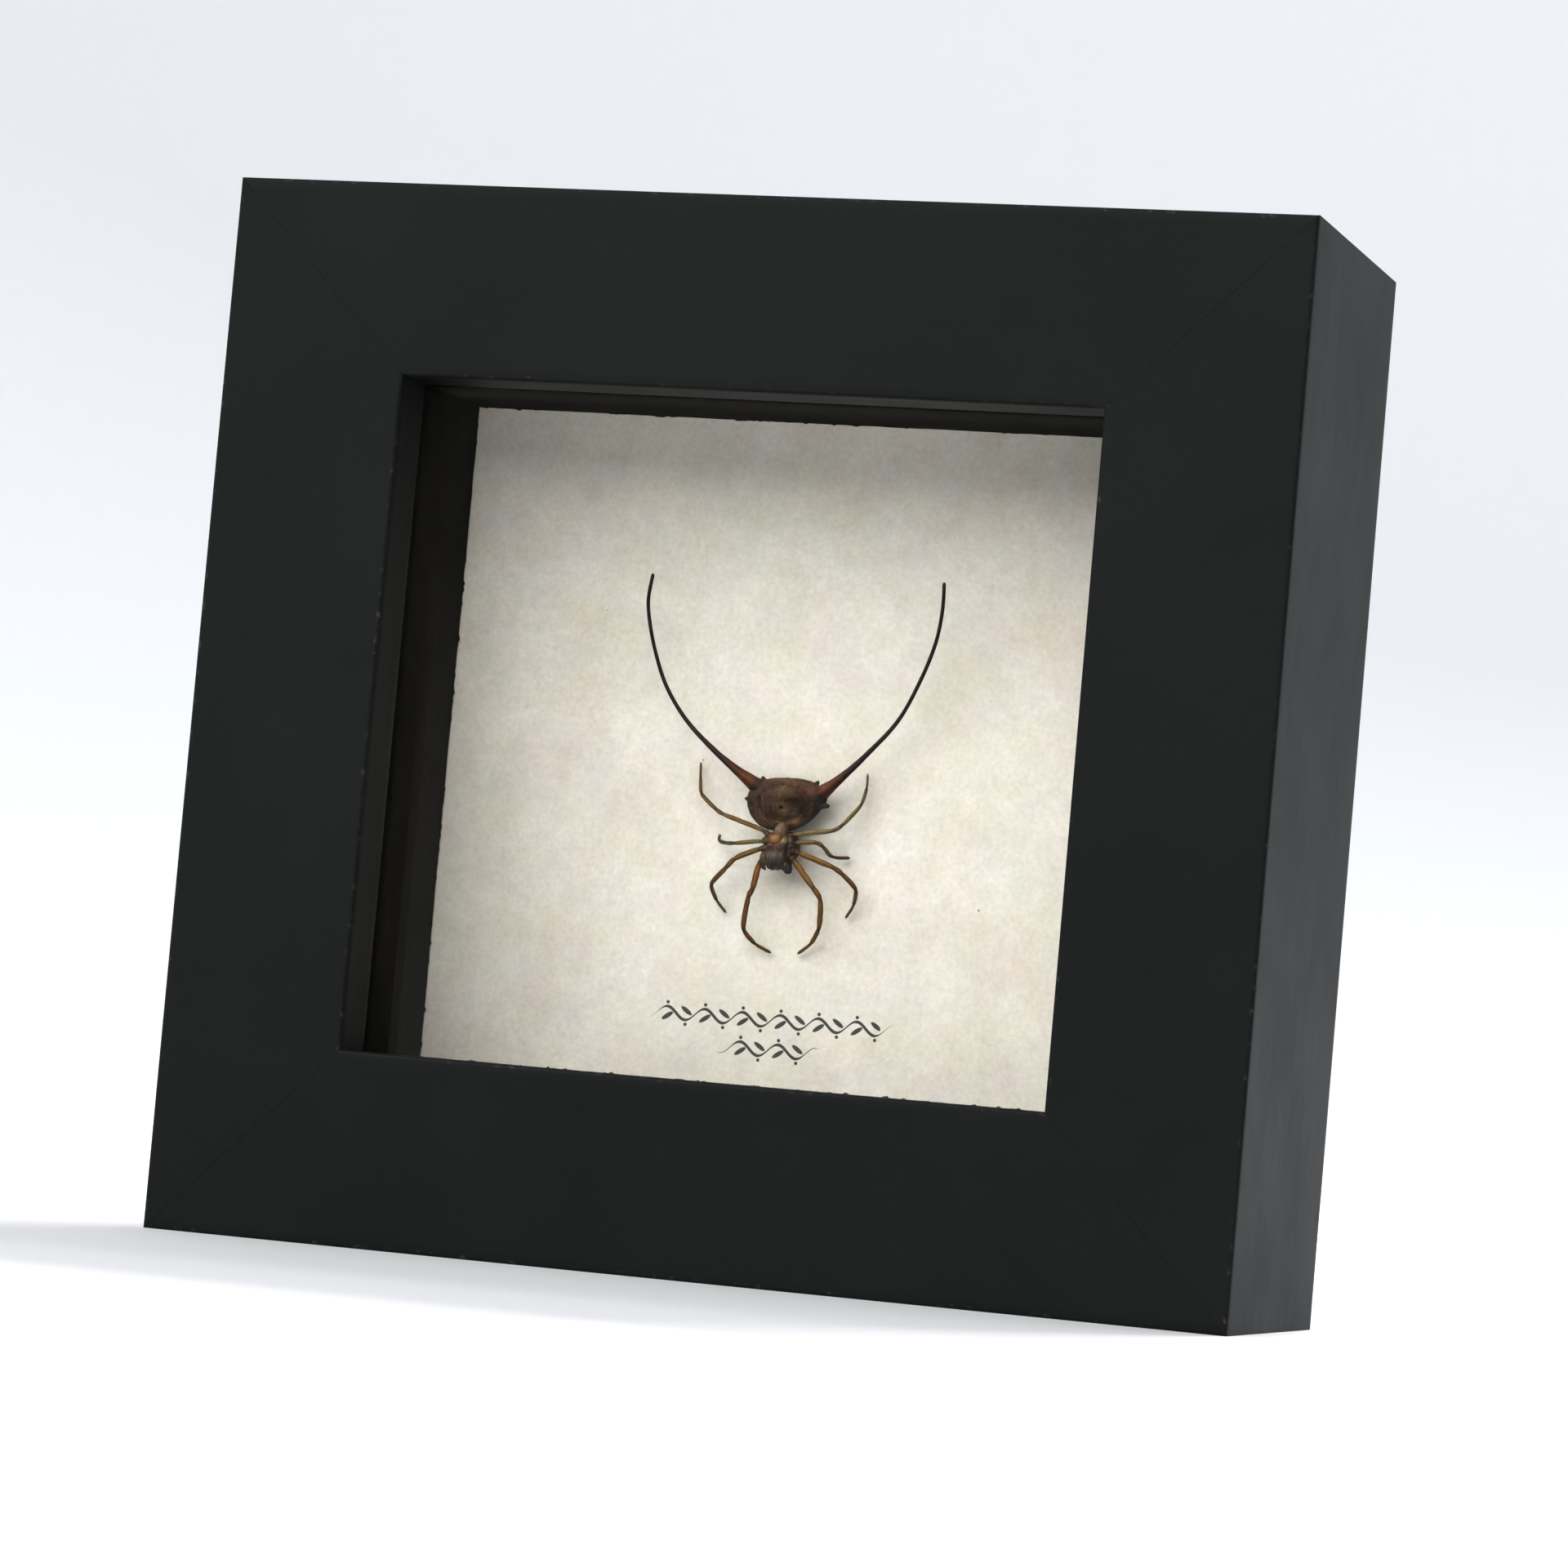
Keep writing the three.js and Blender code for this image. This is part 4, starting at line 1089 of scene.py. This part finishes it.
def make_abdomen(settings):
    """The abdomen: the shield, pushed in and out along its normals by a ring furrow, folds that run round
    the spinneret and are deepest at the lower left, creases that meet at it, muscle pits, a furrow before
    two plates, a fine granulation and the spinneret's low mound with its hole. Its colour holds painted
    shade and highlight: grooves and recesses darker than ridges, the spinneret's rim lighter and its hole
    nearly black."""
    grid = shield_grid()
    x, y, lift = grid[..., 0], grid[..., 1], grid[..., 2]
    fold = settings.fold_depth / MM
    front = smooth_step(EDGE_LIFT + 0.1, EDGE_LIFT + 0.9, lift)
    away = np.hypot((x - SPINNERET[0]) / 1.12, y - SPINNERET[1])
    bearing = np.arctan2(y - SPINNERET[1], x - SPINNERET[0])
    rumple = layered_noise(grid, 1.3, seed=3)
    warped = grid + 0.5 * np.stack([rumple, layered_noise(grid, 1.1, seed=5), 0 * rumple], axis=-1)
    lower_left = smooth_step(1.6, -0.8, x) * smooth_step(-6.1, -7.2, y)
    folds = np.sin(2 * np.pi * away / FOLD_SPACING + 4.2 * rumple) * smooth_step(0.5, 0.9, away)
    folds *= (0.25 + lower_left) * smooth_step(4.2, 3.2, away)
    creases = np.sin(13 * bearing + 5 * rumple) * bump_at(away - 0.75, 0.45)
    ridges = ridged(warped, 0.9, seed=8, layers=4, depth=2.4)
    fine = ridged(warped, 0.34, seed=15, depth=2.4)
    granules = layered_noise(grid, 0.16, seed=12, layers=2)
    edge = np.hypot((x - DISC_CENTRE[0]) / DISC_RADII[0], (y - DISC_CENTRE[1]) / DISC_RADII[1])
    ring = bump_at(edge + 0.06 * rumple - 1, 0.075)
    ring *= np.clip(0.6 + 0.9 * layered_noise(grid, 1.7, seed=21), 0, 1)
    rim_line = (bump_at(y + 3.42 + 0.06 * (x - 1.75) ** 2, 0.09)
                * smooth_step(-1.6, -0.8, x) * smooth_step(5.2, 4.4, x))
    furrow = bump_at(y + 7.5 - 0.14 * (x - 2) ** 2, 0.12) * bump_at(x - 2, 1.4)
    plates = sum(bump_at(np.hypot((x - px) / 1.25, y - py), 0.45) for px, py in PLATE_CENTRES)
    bearings = np.radians(PIT_BEARINGS)
    pits = sum(bump_at(np.hypot(x - PIT_CENTRE[0] - px, y - PIT_CENTRE[1] - py), PIT_RADIUS)
               for px, py in zip(PIT_OVAL[0] * np.cos(bearings), PIT_OVAL[1] * np.sin(bearings)))
    # Painted shade: the ring furrow, the rim line, the front furrow and the muscle pits are darkened in
    # colour
    dark = np.clip(ring + rim_line + 0.8 * furrow + 0.8 * pits, 0, 1) * front
    relief = front * (fold * (folds + 0.6 * creases + 0.8 * ridges + 0.45 * fine) + 0.02 * granules
                      - 0.13 * ring - 0.07 * rim_line - 0.12 * furrow + 0.14 * plates
                      - settings.pit_depth / MM * pits)
    relief += (1 - front) * (0.05 * ridges + 0.02 * fine + 0.015 * granules)
    hole = smooth_step(0.25, 0.16, away)
    rim = bump_at(away - 0.32, 0.1)
    relief += 0.16 * bump_at(away, 0.6) + 0.07 * rim - 0.5 * hole
    grid = grid + outward(grid) * relief[..., None]

    tone = paint_patches(settings.abdomen, x, y, ABDOMEN_PATCHES)
    for seed, tint in ((61, (1.35, 0.95, 1.05)), (71, (0.85, 1.08, 0.9)), (81, (1.2, 1.12, 1.0))):
        spots = smooth_step(0.05, 0.55, layered_noise(warped, 0.62, seed=seed))
        tone *= 1 + spots[..., None] * (np.array(tint) - 1)
    flank = 1 - smooth_step(EDGE_LIFT + 0.15, EDGE_LIFT + 0.8, lift)
    # Painted shade: the right flank, away from the light, is made darker
    right_flank_painted_shade = smooth_step(4.6, 5.6, x) * smooth_step(-4.4, -5.2, y)
    flank_tone = as_lit(np.array(settings.flank) * (1 - 0.6 * right_flank_painted_shade[..., None]))
    below = smooth_step(-3.6, -4.6, y)
    tone += ((0.85 * np.maximum(flank, 0.9 * right_flank_painted_shade) * below)[..., None]) * (flank_tone - tone)
    mottle = layered_noise(grid, 0.5, seed=33)
    # Painted shade and highlight: lighter on fold crests and ridges, darker in grooves and recesses, lighter
    # on the spinneret's rim; the mottle is the cuticle's own uneven tone
    shade = 1 + 0.4 * folds * front + 0.4 * ridges + 0.25 * fine + 0.75 * mottle - 0.62 * dark + 0.3 * rim
    # Painted shade: the spinneret's hole is made nearly black
    shell = toned_skin(grid, tone * (np.clip(shade, 0.2, 2.2) * (1 - 0.97 * hole))[..., None])
    finish = cuticle("abdomen cuticle", gloss=0.48, shine=0.12, grain_scale=2600, relief=0.02,
                     variation=0.25)
    put("spider_abdomen", [shell], finish, ["spider"])


def spine_tone(settings, along, noise_value, lower):
    """Dusky at the shoulder, red brown over the root, then dark purple brown and nearly black to the tip;
    the lower side is darker than the upper, as painted shade."""
    root, tip = np.array(settings.spine_root), np.array(settings.spine_tip)
    dusk = np.array(srgb(60, 43, 35))
    purple = np.array(srgb(60, 40, 34))
    stops = [0, 0.07, 0.1, 0.14, 0.21, 0.36, 1]
    colours = [dusk, dusk, root, root * 0.72, purple, tip, tip * 0.8]
    tone = np.stack([np.interp(along, stops, [c[k] for c in colours]) for k in range(3)], axis=-1)
    return as_lit(tone * ((1 + 0.45 * noise_value) * (1 - 0.5 * lower))[..., None])


def make_spines(settings):
    """Two long spines and four short ones. A long spine's radius at the share t of its length is
    radius + taper (1 - t) + swelling exp(-(t - start) / fade). It is rounded off at its root inside the
    abdomen and at its tip, with fine ribs that fade towards the tip."""
    skins = []
    for number, points in enumerate(LONG_SPINES.values()):
        path = even_steps(spline(points), 280)
        t = np.linspace(0, 1, len(path))
        root = np.clip(t / 0.06, 0, 1)
        tip = np.clip((1 - t) / 0.012, 0, 1)
        radius = SPINE_RADIUS + SPINE_TAPER * (1 - t)
        radius += ROOT_SWELLING * np.exp(-np.clip(t - ROOT_START, 0, 1) / ROOT_FADE)
        radius *= np.sqrt(np.clip(root * (2 - root) * tip * (2 - tip), 0.003, 1))
        grid, ring, angle = rings_round(path, radius, 30)
        rumple = layered_noise(grid, 0.9, seed=31 + number)
        fine = ridged(grid, 0.4, seed=36 + number)
        ribs = np.sin(9 * angle + 2.5 * rumple) * np.exp(-t / 0.2)[:, None]
        warts = smooth_step(0.35, 0.8, noise(grid, 0.3, seed=40 + number)) * np.exp(-t / 0.12)[:, None]
        near = np.exp(-t / 0.15)[:, None]
        swell = radius[:, None] * (0.03 * ribs + 0.06 * rumple) + 0.04 * warts + 0.04 * fine * near
        grid = grid + ring * swell[..., None]
        # Painted shade: the side of the spine that faces down the card is darkened
        lower = smooth_step(0.1, -0.8, ring[..., 1])
        tone = spine_tone(settings, np.broadcast_to(t[:, None], grid.shape[:2]), rumple, lower)
        # Painted shade and highlight: ribs, warts and fine ridges lighter on their crests and darker between
        # them
        tone *= (1 + 0.2 * ribs + 0.5 * warts + 0.35 * fine * near)[..., None]
        skins.append(toned_skin(grid, tone))
    for number, points in enumerate(SHORT_SPINES):
        path = even_steps(np.array(points, float), 30)
        t = np.linspace(0, 1, len(path))
        radius = (0.6 - 0.45 * t) * np.sqrt(np.clip((1 - t) / 0.12, 0.002, 1))
        grid, ring, angle = rings_round(path, radius, 20)
        rumple = layered_noise(grid, 0.5, seed=50 + number)
        grid = grid + ring * (0.12 * rumple * radius[:, None])[..., None]
        tone = as_lit(settings.flank) * (1 + 0.4 * rumple)[..., None] + 0 * angle[..., None]
        skins.append(toned_skin(grid, tone))
    finish = cuticle("spine cuticle", gloss=0.38, shine=0.15, grain_scale=2400, relief=0.012, variation=0.2)
    put("spider_spines", skins, finish, ["spider"])


def lump(centre, radii, turn=0.0, wrinkle=0.05, size=0.6, seed=0, rows=48, around=64):
    """A rounded mass: an ellipsoid turned in the card's plane, pushed in and out along its normals by
    folded noise, 1 - 2 |noise|. Also gives the fold at each point, from -1 in a groove to 1 on a ridge."""
    slope = np.linspace(-np.pi / 2, np.pi / 2, rows + 2)[1:-1, None]
    angle = np.linspace(0, 2 * np.pi, around, endpoint=False)[None]
    flat = np.cos(slope)
    ball = np.stack([flat * np.cos(angle), flat * np.sin(angle), np.sin(slope) + 0 * angle], axis=-1)
    right, up, lift = np.moveaxis(ball * radii, -1, 0)
    c, s = math.cos(turn), math.sin(turn)
    turned = np.stack([right * c - up * s, right * s + up * c, lift], axis=-1)
    grid = turned + centre
    folds = ridged(grid, size, seed, depth=2)
    return grid + unit(turned) * (wrinkle * folds)[..., None], folds


def make_head():
    """Head and chest from below: chest, breast plate, hip joints, jaws with their fangs, mouth parts, palps
    and the waist, each a folded mass or a tapered tube. Their colours are painted across all of them by
    place."""
    skins = []
    for seed, (centre, radii, turn, wrinkle, size) in enumerate(BODY_MASSES.values()):
        grid, folds = lump(np.array(centre), np.array(radii), turn, wrinkle, size, seed=60 + seed)
        skins.append(body_skin(grid, folds))
    for seed, points in enumerate(LEGS.values()):
        hip, knee = np.array(points[0]), np.array(points[1])
        heading = math.atan2(knee[1] - hip[1], knee[0] - hip[0])
        grid, folds = lump(hip + 0.05 * (knee - hip), HIP_RADII, heading, wrinkle=0.05, size=0.4,
                           seed=80 + seed, rows=28, around=40)
        skins.append(body_skin(grid, folds))
    for seed, (points, first, last) in enumerate(BODY_TUBES.values()):
        path = even_steps(spline(points), 60)
        t = np.linspace(0, 1, len(path))
        closing = np.clip(np.minimum(1 - t, t + 0.02) / 0.2, 0.002, 1)
        radius = (first + (last - first) * t) * np.sqrt(closing)
        grid, ring, _ = rings_round(path, radius, 30)
        folds = ridged(grid, 0.4, seed=100 + seed)
        grid = grid + ring * (0.14 * folds * radius[:, None])[..., None]
        skins.append(body_skin(grid, folds))
    finish = cuticle("head cuticle", gloss=0.34, shine=0.2, grain_scale=2800, relief=0.012, variation=0.22)
    put("spider_head", skins, finish, ["spider"])


def body_skin(grid, folds):
    """A closed skin of the head with its colour: patches by place, painted shade that darkens grooves and
    lightens ridges, and pale thin lines of painted highlight that run roughly lengthways over the glassy
    jaws."""
    x, y = grid[..., 0], grid[..., 1]
    tone = paint_patches(srgb(60, 44, 32), x, y, BODY_PATCHES)
    streak = layered_noise(grid * np.array([1.0, 0.45, 0.6]), 0.42, seed=140)
    middle = bump_at(x - 1.42 - 0.12 * streak, 0.045) * bump_at(y + 12.3, 0.7)
    lines = smooth_step(0.07, 0.0, np.abs(streak)) + middle
    lines *= bump_at(np.hypot((x - 1.3) / 1.5, (y + 12.2) / 1.15), 1.0)
    # Painted shade and highlight: lighter on fold crests, darker in grooves; the noise is uneven tone
    tone *= (1 + 0.45 * folds + 0.35 * layered_noise(grid, 0.3, seed=141))[..., None]
    # Painted highlight: pale lines over the glassy jaws stand in for glints on their cuticle
    tone += (0.7 * np.clip(lines, 0, 1))[..., None] * (as_lit(srgb(128, 120, 103)) - tone)
    return toned_skin(grid, tone)


def leg_path(points):
    """A leg's centre line: each joint parted into the start and end of a short bend, then a smooth
    curve."""
    points = np.array(points, float)
    before = points[1:-1] + KNEE_BEND * unit(points[:-2] - points[1:-1])
    after = points[1:-1] + KNEE_BEND * unit(points[2:] - points[1:-1])
    bends = np.stack([before, after], axis=1).reshape(-1, 3)
    return np.vstack([points[:1], bends, points[-1:]])


def leg_skin(points, look, settings, seed, rings=230, sides=20):
    """One leg. Each segment's radius is its greatest, narrowed at both ends by the pinch times the fourth
    power of the distance from its middle; the skin has a shallow groove along each side and fine
    wrinkles."""
    thickness, screen = look
    points = np.array(points, float)
    spans = np.linalg.norm(np.diff(points, axis=0), axis=1)
    joints = np.concatenate([[0], np.cumsum(spans)]) / spans.sum()
    path = even_steps(spline(leg_path(points)), rings)
    t = np.linspace(0, 1, rings)
    segment = np.clip(np.searchsorted(joints, t, side="right") - 1, 0, len(spans) - 1)
    inside = (t - joints[segment]) / (joints[segment + 1] - joints[segment])
    radius = thickness * SEGMENT_RADII[segment] * (1 - JOINT_PINCH * np.abs(2 * inside - 1) ** 4)
    kernel = np.hanning(9) / np.hanning(9).sum()
    radius = np.convolve(np.pad(radius, 4, mode="edge"), kernel, mode="valid")
    radius *= np.sqrt(np.clip((1 - t) / 0.025, 0.002, 1))
    grid, ring, angle = rings_round(path, radius, sides, squeeze=0.88)
    groove = -0.13 * bump_at(np.abs(np.sin(angle - 1.1)), 0.3)
    groove = groove * smooth_step(0, 0.12, inside * (1 - inside))[:, None]
    rumple = layered_noise(grid, 0.5, seed=seed)
    wrinkles = ridged(grid * np.array([1, 1, 2]), 0.3, seed=seed + 40)
    run = (t * spans.sum())[:, None] + 0 * angle
    stretched = np.stack([np.cos(angle) + 0 * run, np.sin(angle) + 0 * run, run / 3], axis=-1)
    streaks = layered_noise(stretched, 0.6, seed)
    grid = grid + ring * (radius[:, None] * (groove + 0.12 * rumple + 0.05 * wrinkles))[..., None]

    to_joint = np.min(np.abs(t[:, None] - joints[None, 1:-1]), axis=1) * spans.sum()
    leg, joint = as_lit(srgb(*screen)), as_lit(settings.leg_joint)
    dark = np.clip(0.8 * bump_at(to_joint, 0.3) + 0.35 * smooth_step(0.35, 0.75, t), 0, 1)
    tone = leg + dark[:, None, None] * (joint - leg) + 0 * angle[..., None]
    hip = smooth_step(0.14, 0.03, t)[:, None, None]
    # Painted highlight: a pale stripe along one side of the leg
    painted_highlight_stripe = bump_at(np.cos(angle - 2.0) - 1, 0.35)
    # Painted shade: grooves and wrinkles darker in colour; the streaks are the leg's own uneven tone
    shade = 1 + 0.4 * rumple + 0.2 * wrinkles + 0.4 * painted_highlight_stripe + 0.8 * streaks + 2.6 * groove
    tone = tone * (1 - 0.62 * hip) * shade[..., None]
    return toned_skin(grid, tone), path, radius


def bristles(path, radius, count, longest, root, random):
    """Thin three-sided spikes leaning towards the foot. The root is on the skin at a random place and
    bearing, and the tip is at root + length (a outwards + b along), where a and b are the lean's parts."""
    first, last = (int(len(path) * part) for part in BRISTLED)
    place = random.integers(first, last, count)
    bearing = random.uniform(0, 2 * np.pi, count)[:, None]
    reach = longest * random.uniform(0.45, 1, count)[:, None]
    along = unit(np.gradient(path, axis=0))[place]
    side = unit(np.cross(along, [0.0, 0.0, 1.0]))
    out = np.cos(bearing) * side + np.sin(bearing) * np.cross(side, along)
    base = path[place] + out * (radius[place] * 0.86)[:, None]
    lean = unit(BRISTLE_LEAN[0] * out + BRISTLE_LEAN[1] * along)
    across = unit(np.cross(lean, out))
    second = np.cross(lean, across)
    thirds = (0, 2 * np.pi / 3, 4 * np.pi / 3)
    corners = [base + root * (math.cos(a) * across + math.sin(a) * second) for a in thirds]
    points = np.stack([*corners, base + reach * lean], axis=1).reshape(-1, 3)
    root_point = 4 * np.arange(count)[:, None]
    faces = np.concatenate([root_point + np.array(f) for f in ((0, 2, 1), (0, 1, 3), (1, 2, 3), (2, 0, 3))])
    points = on_card(points)
    if signed_volume(points, [faces]) < 0:
        faces = faces[:, ::-1]
    return points, [faces], {}


def make_legs(settings):
    """Eight jointed legs, and the bristles that stand off them."""
    random = np.random.default_rng(7)
    skin_finish = cuticle("leg cuticle", gloss=0.4, shine=0.16, grain_scale=2600, relief=0.01,
                          variation=0.22)
    spikes = []
    for seed, (name, points) in enumerate(LEGS.items()):
        skin, path, radius = leg_skin(points, LEG_LOOKS[name], settings, 120 + seed)
        put(f"spider_leg_{name}", [skin], skin_finish, ["spider"])
        spikes.append(bristles(path, radius, settings.bristles_per_leg, settings.bristle_length / MM,
                               settings.bristle_radius / MM, random))
    put("spider_bristles", spikes, bristle_finish(settings), ["spider"], smooth=False)


def bristle_finish(settings):
    """Dark stiff bristle."""
    def fill(nodes):
        patch = nodes.group(blotches(), {"Place": nodes.place(), "Scale": 900, "Contrast": 2})
        return {
            "Base Color": nodes.blend(patch, settings.leg_joint, scaled(settings.leg_joint, 0.4)),
            "Roughness": 0.45,
        }
    return finished("dark bristle", fill)


# Stage


# The photograph's camera, in millimetres and degrees
CAMERA_TARGET = (8.522, -22.5, 55.776)
CAMERA_DISTANCE = 594.35
CAMERA_AZIMUTH = 17.753
CAMERA_ELEVATION = -3.223
CAMERA_ROLL = 5.054


def make_camera(lens):
    """The photograph's view: it stands off the target along the azimuth and elevation, and is rolled about
    its axis."""
    azimuth, elevation, roll = (math.radians(v) for v in (CAMERA_AZIMUTH, CAMERA_ELEVATION, CAMERA_ROLL))
    back = Vector((math.sin(azimuth) * math.cos(elevation), -math.cos(azimuth) * math.cos(elevation),
                   math.sin(elevation)))
    right = Vector((0, 0, 1)).cross(back).normalized()
    up = back.cross(right)
    right, up = right * math.cos(roll) + up * math.sin(roll), up * math.cos(roll) - right * math.sin(roll)
    data = bpy.data.cameras.new("camera")
    data.lens = lens
    data.sensor_width = 36
    data.clip_start, data.clip_end = 0.01, 20
    camera = bpy.data.objects.new("camera", data)
    place = (Vector(CAMERA_TARGET) + back * CAMERA_DISTANCE) * MM
    turn = Matrix((right, up, back)).transposed().to_4x4()
    camera.matrix_world = Matrix.Translation(place) @ turn
    bpy.context.scene.collection.objects.link(camera)
    bpy.context.scene.camera = camera


def soft_light(name, place, aim, width, height, power, tint=(1, 1, 1)):
    """A rectangular light at place, in metres, that faces aim."""
    data = bpy.data.lights.new(name, "AREA")
    data.shape = "RECTANGLE"
    data.size, data.size_y = width, height
    data.energy = power
    data.color = tint
    lamp = bpy.data.objects.new(name, data)
    lamp.location = place
    lamp.rotation_euler = (Vector(aim) - Vector(place)).to_track_quat("-Z", "Y").to_euler()
    bpy.context.scene.collection.objects.link(lamp)


def make_floor(settings):
    """A pale bowl: a flat floor out to its radius, then a quarter round, then an upright wall. It gets
    darker towards the front, so that the glass mirrors something dim."""
    radius, curve, wall, sides = settings.floor_radius, 0.7, 2.4, 128
    a = np.linspace(0, np.pi / 2, 40)
    flat = np.stack([np.linspace(0.001, radius, 30), np.zeros(30)], axis=1)
    rise = np.stack([radius + curve * np.sin(a), curve * (1 - np.cos(a))], axis=1)[1:]
    upright = np.stack([np.full(12, radius + curve), np.linspace(curve, wall, 13)[1:]], axis=1)
    grid = lathe(np.vstack([flat, rise, upright]), sides)
    mesh = bpy.data.meshes.new("floor")
    index = np.arange(grid.shape[0] * sides).reshape(-1, sides)
    faces = quads_between(index).tolist() + [index[0].tolist()]
    mesh.from_pydata(grid.reshape(-1, 3).tolist(), [], faces)
    mesh.polygons.foreach_set("use_smooth", [True] * len(mesh.polygons))
    mesh.materials.append(floor_finish(settings))
    floor = bpy.data.objects.new("floor", mesh)
    bpy.context.scene.collection.objects.link(floor)


def floor_finish(settings):
    """Matt pale floor, shaded darker towards its front wall."""
    def fill(nodes):
        forward = nodes.between(nodes.axes(nodes.place())["Y"], -1.25, -0.45)
        return {
            "Base Color": nodes.blend(forward, srgb(60, 60, 60), settings.floor_colour),
            "Roughness": 0.85,
            "Specular IOR Level": 0.2,
        }
    return finished("pale floor", fill)


def make_lights(settings):
    """Soft studio light: a broad key from the upper left in front, a smaller one from behind that lays the
    shadow forward, one for the backdrop, and a dim sky."""
    soft_light("key", (-0.44, -1.22, 1.0), (0, 0, 0.06), width=2.0, height=1.4, power=settings.key_power)
    soft_light("rim", (0.15, 0.95, 1.05), (0, -0.1, 0), width=0.5, height=0.3, power=settings.rim_power)
    soft_light("backdrop", (0.35, 1.0, 1.9), (0.2, 1.9, 0.5), width=2.2, height=0.6,
               power=settings.backdrop_power, tint=srgb(247, 249, 252))
    world = bpy.data.worlds.new("studio")
    world.use_nodes = True
    background = world.node_tree.nodes["Background"]
    background.inputs["Color"].default_value = (*srgb(241, 243, 247), 1)
    background.inputs["Strength"].default_value = 0.25
    bpy.context.scene.world = world
    bpy.context.scene.view_settings.view_transform = "Standard"


# Operators


class SPECIMEN_OT_rails(bpy.types.Operator):
    """Build the four painted rails"""
    bl_idname = "specimen.rails"
    bl_label = "Rails"

    def execute(self, context):
        make_rails(context.scene.specimen_frame)
        return {"FINISHED"}


class SPECIMEN_OT_liners(bpy.types.Operator):
    """Build the four liner strips"""
    bl_idname = "specimen.liners"
    bl_label = "Liners"

    def execute(self, context):
        make_liners(context.scene.specimen_frame)
        return {"FINISHED"}


class SPECIMEN_OT_glass(bpy.types.Operator):
    """Give the pane its clear glass"""
    bl_idname = "specimen.glass"
    bl_label = "Glass"

    def execute(self, context):
        refinish("glass_pane", clear_glass())
        return {"FINISHED"}


class SPECIMEN_OT_card(bpy.types.Operator):
    """Build the mottled card with its pen ornament"""
    bl_idname = "specimen.card"
    bl_label = "Card"

    def execute(self, context):
        make_card(context.scene.specimen_frame)
        return {"FINISHED"}


class SPECIMEN_OT_backing(bpy.types.Operator):
    """Build the back panel and finish the mount board"""
    bl_idname = "specimen.backing"
    bl_label = "Backing"

    def execute(self, context):
        make_backing(context.scene.specimen_frame)
        return {"FINISHED"}


class SPECIMEN_OT_points(bpy.types.Operator):
    """Build the eight framing points"""
    bl_idname = "specimen.points"
    bl_label = "Framing points"

    def execute(self, context):
        make_points(context.scene.specimen_frame)
        return {"FINISHED"}


class SPECIMEN_OT_hanger(bpy.types.Operator):
    """Build the sawtooth hanger and its nails"""
    bl_idname = "specimen.hanger"
    bl_label = "Hanger"

    def execute(self, context):
        make_hanger(context.scene.specimen_frame)
        return {"FINISHED"}


class SPECIMEN_OT_abdomen(bpy.types.Operator):
    """Build the spider's abdomen and spinneret"""
    bl_idname = "specimen.abdomen"
    bl_label = "Abdomen"

    def execute(self, context):
        make_abdomen(context.scene.specimen_spider)
        return {"FINISHED"}


class SPECIMEN_OT_spines(bpy.types.Operator):
    """Build the long and short spines"""
    bl_idname = "specimen.spines"
    bl_label = "Spines"

    def execute(self, context):
        make_spines(context.scene.specimen_spider)
        return {"FINISHED"}


class SPECIMEN_OT_head(bpy.types.Operator):
    """Build the head and chest with jaws, palps and hip joints"""
    bl_idname = "specimen.head"
    bl_label = "Head and chest"

    def execute(self, context):
        make_head()
        return {"FINISHED"}


class SPECIMEN_OT_legs(bpy.types.Operator):
    """Build the eight legs and their bristles"""
    bl_idname = "specimen.legs"
    bl_label = "Legs"

    def execute(self, context):
        make_legs(context.scene.specimen_spider)
        return {"FINISHED"}


class SPECIMEN_OT_stage(bpy.types.Operator):
    """Set up the camera, floor and lights"""
    bl_idname = "specimen.stage"
    bl_label = "Stage"

    def execute(self, context):
        settings = context.scene.specimen_stage
        make_camera(settings.lens)
        make_floor(settings)
        make_lights(settings)
        return {"FINISHED"}


OPERATORS = (
    SPECIMEN_OT_stage, SPECIMEN_OT_rails, SPECIMEN_OT_liners, SPECIMEN_OT_glass, SPECIMEN_OT_card,
    SPECIMEN_OT_backing, SPECIMEN_OT_points, SPECIMEN_OT_hanger, SPECIMEN_OT_abdomen, SPECIMEN_OT_spines,
    SPECIMEN_OT_head, SPECIMEN_OT_legs,
)


class SPECIMEN_PT_panel(bpy.types.Panel):
    """Lists the settings and the operators that build each piece"""
    bl_idname = "SPECIMEN_PT_panel"
    bl_label = "Framed spider"
    bl_space_type = "VIEW_3D"
    bl_region_type = "UI"
    bl_category = "Specimen"

    def draw(self, context):
        scene = context.scene
        for settings in (scene.specimen_frame, scene.specimen_spider, scene.specimen_stage):
            column = self.layout.box().column()
            for name in settings.bl_rna.properties.keys():
                if name not in ("rna_type", "name"):
                    column.prop(settings, name)
        for operator in OPERATORS:
            self.layout.operator(operator.bl_idname)


SETTINGS = {
    "specimen_frame": SpecimenFrameSettings,
    "specimen_spider": SpecimenSpiderSettings,
    "specimen_stage": SpecimenStageSettings,
}


def register():
    for item in (*SETTINGS.values(), *OPERATORS, SPECIMEN_PT_panel):
        bpy.utils.register_class(item)
    for name, group in SETTINGS.items():
        setattr(bpy.types.Scene, name, bpy.props.PointerProperty(type=group))


def unregister():
    for name in SETTINGS:
        delattr(bpy.types.Scene, name)
    for item in reversed((*SETTINGS.values(), *OPERATORS, SPECIMEN_PT_panel)):
        bpy.utils.unregister_class(item)


def main():
    """Registers the add-on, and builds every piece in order."""
    register()
    for operator in OPERATORS:
        category, name = operator.bl_idname.split(".")
        getattr(getattr(bpy.ops, category), name)()


if __name__ == "__main__":
    main()
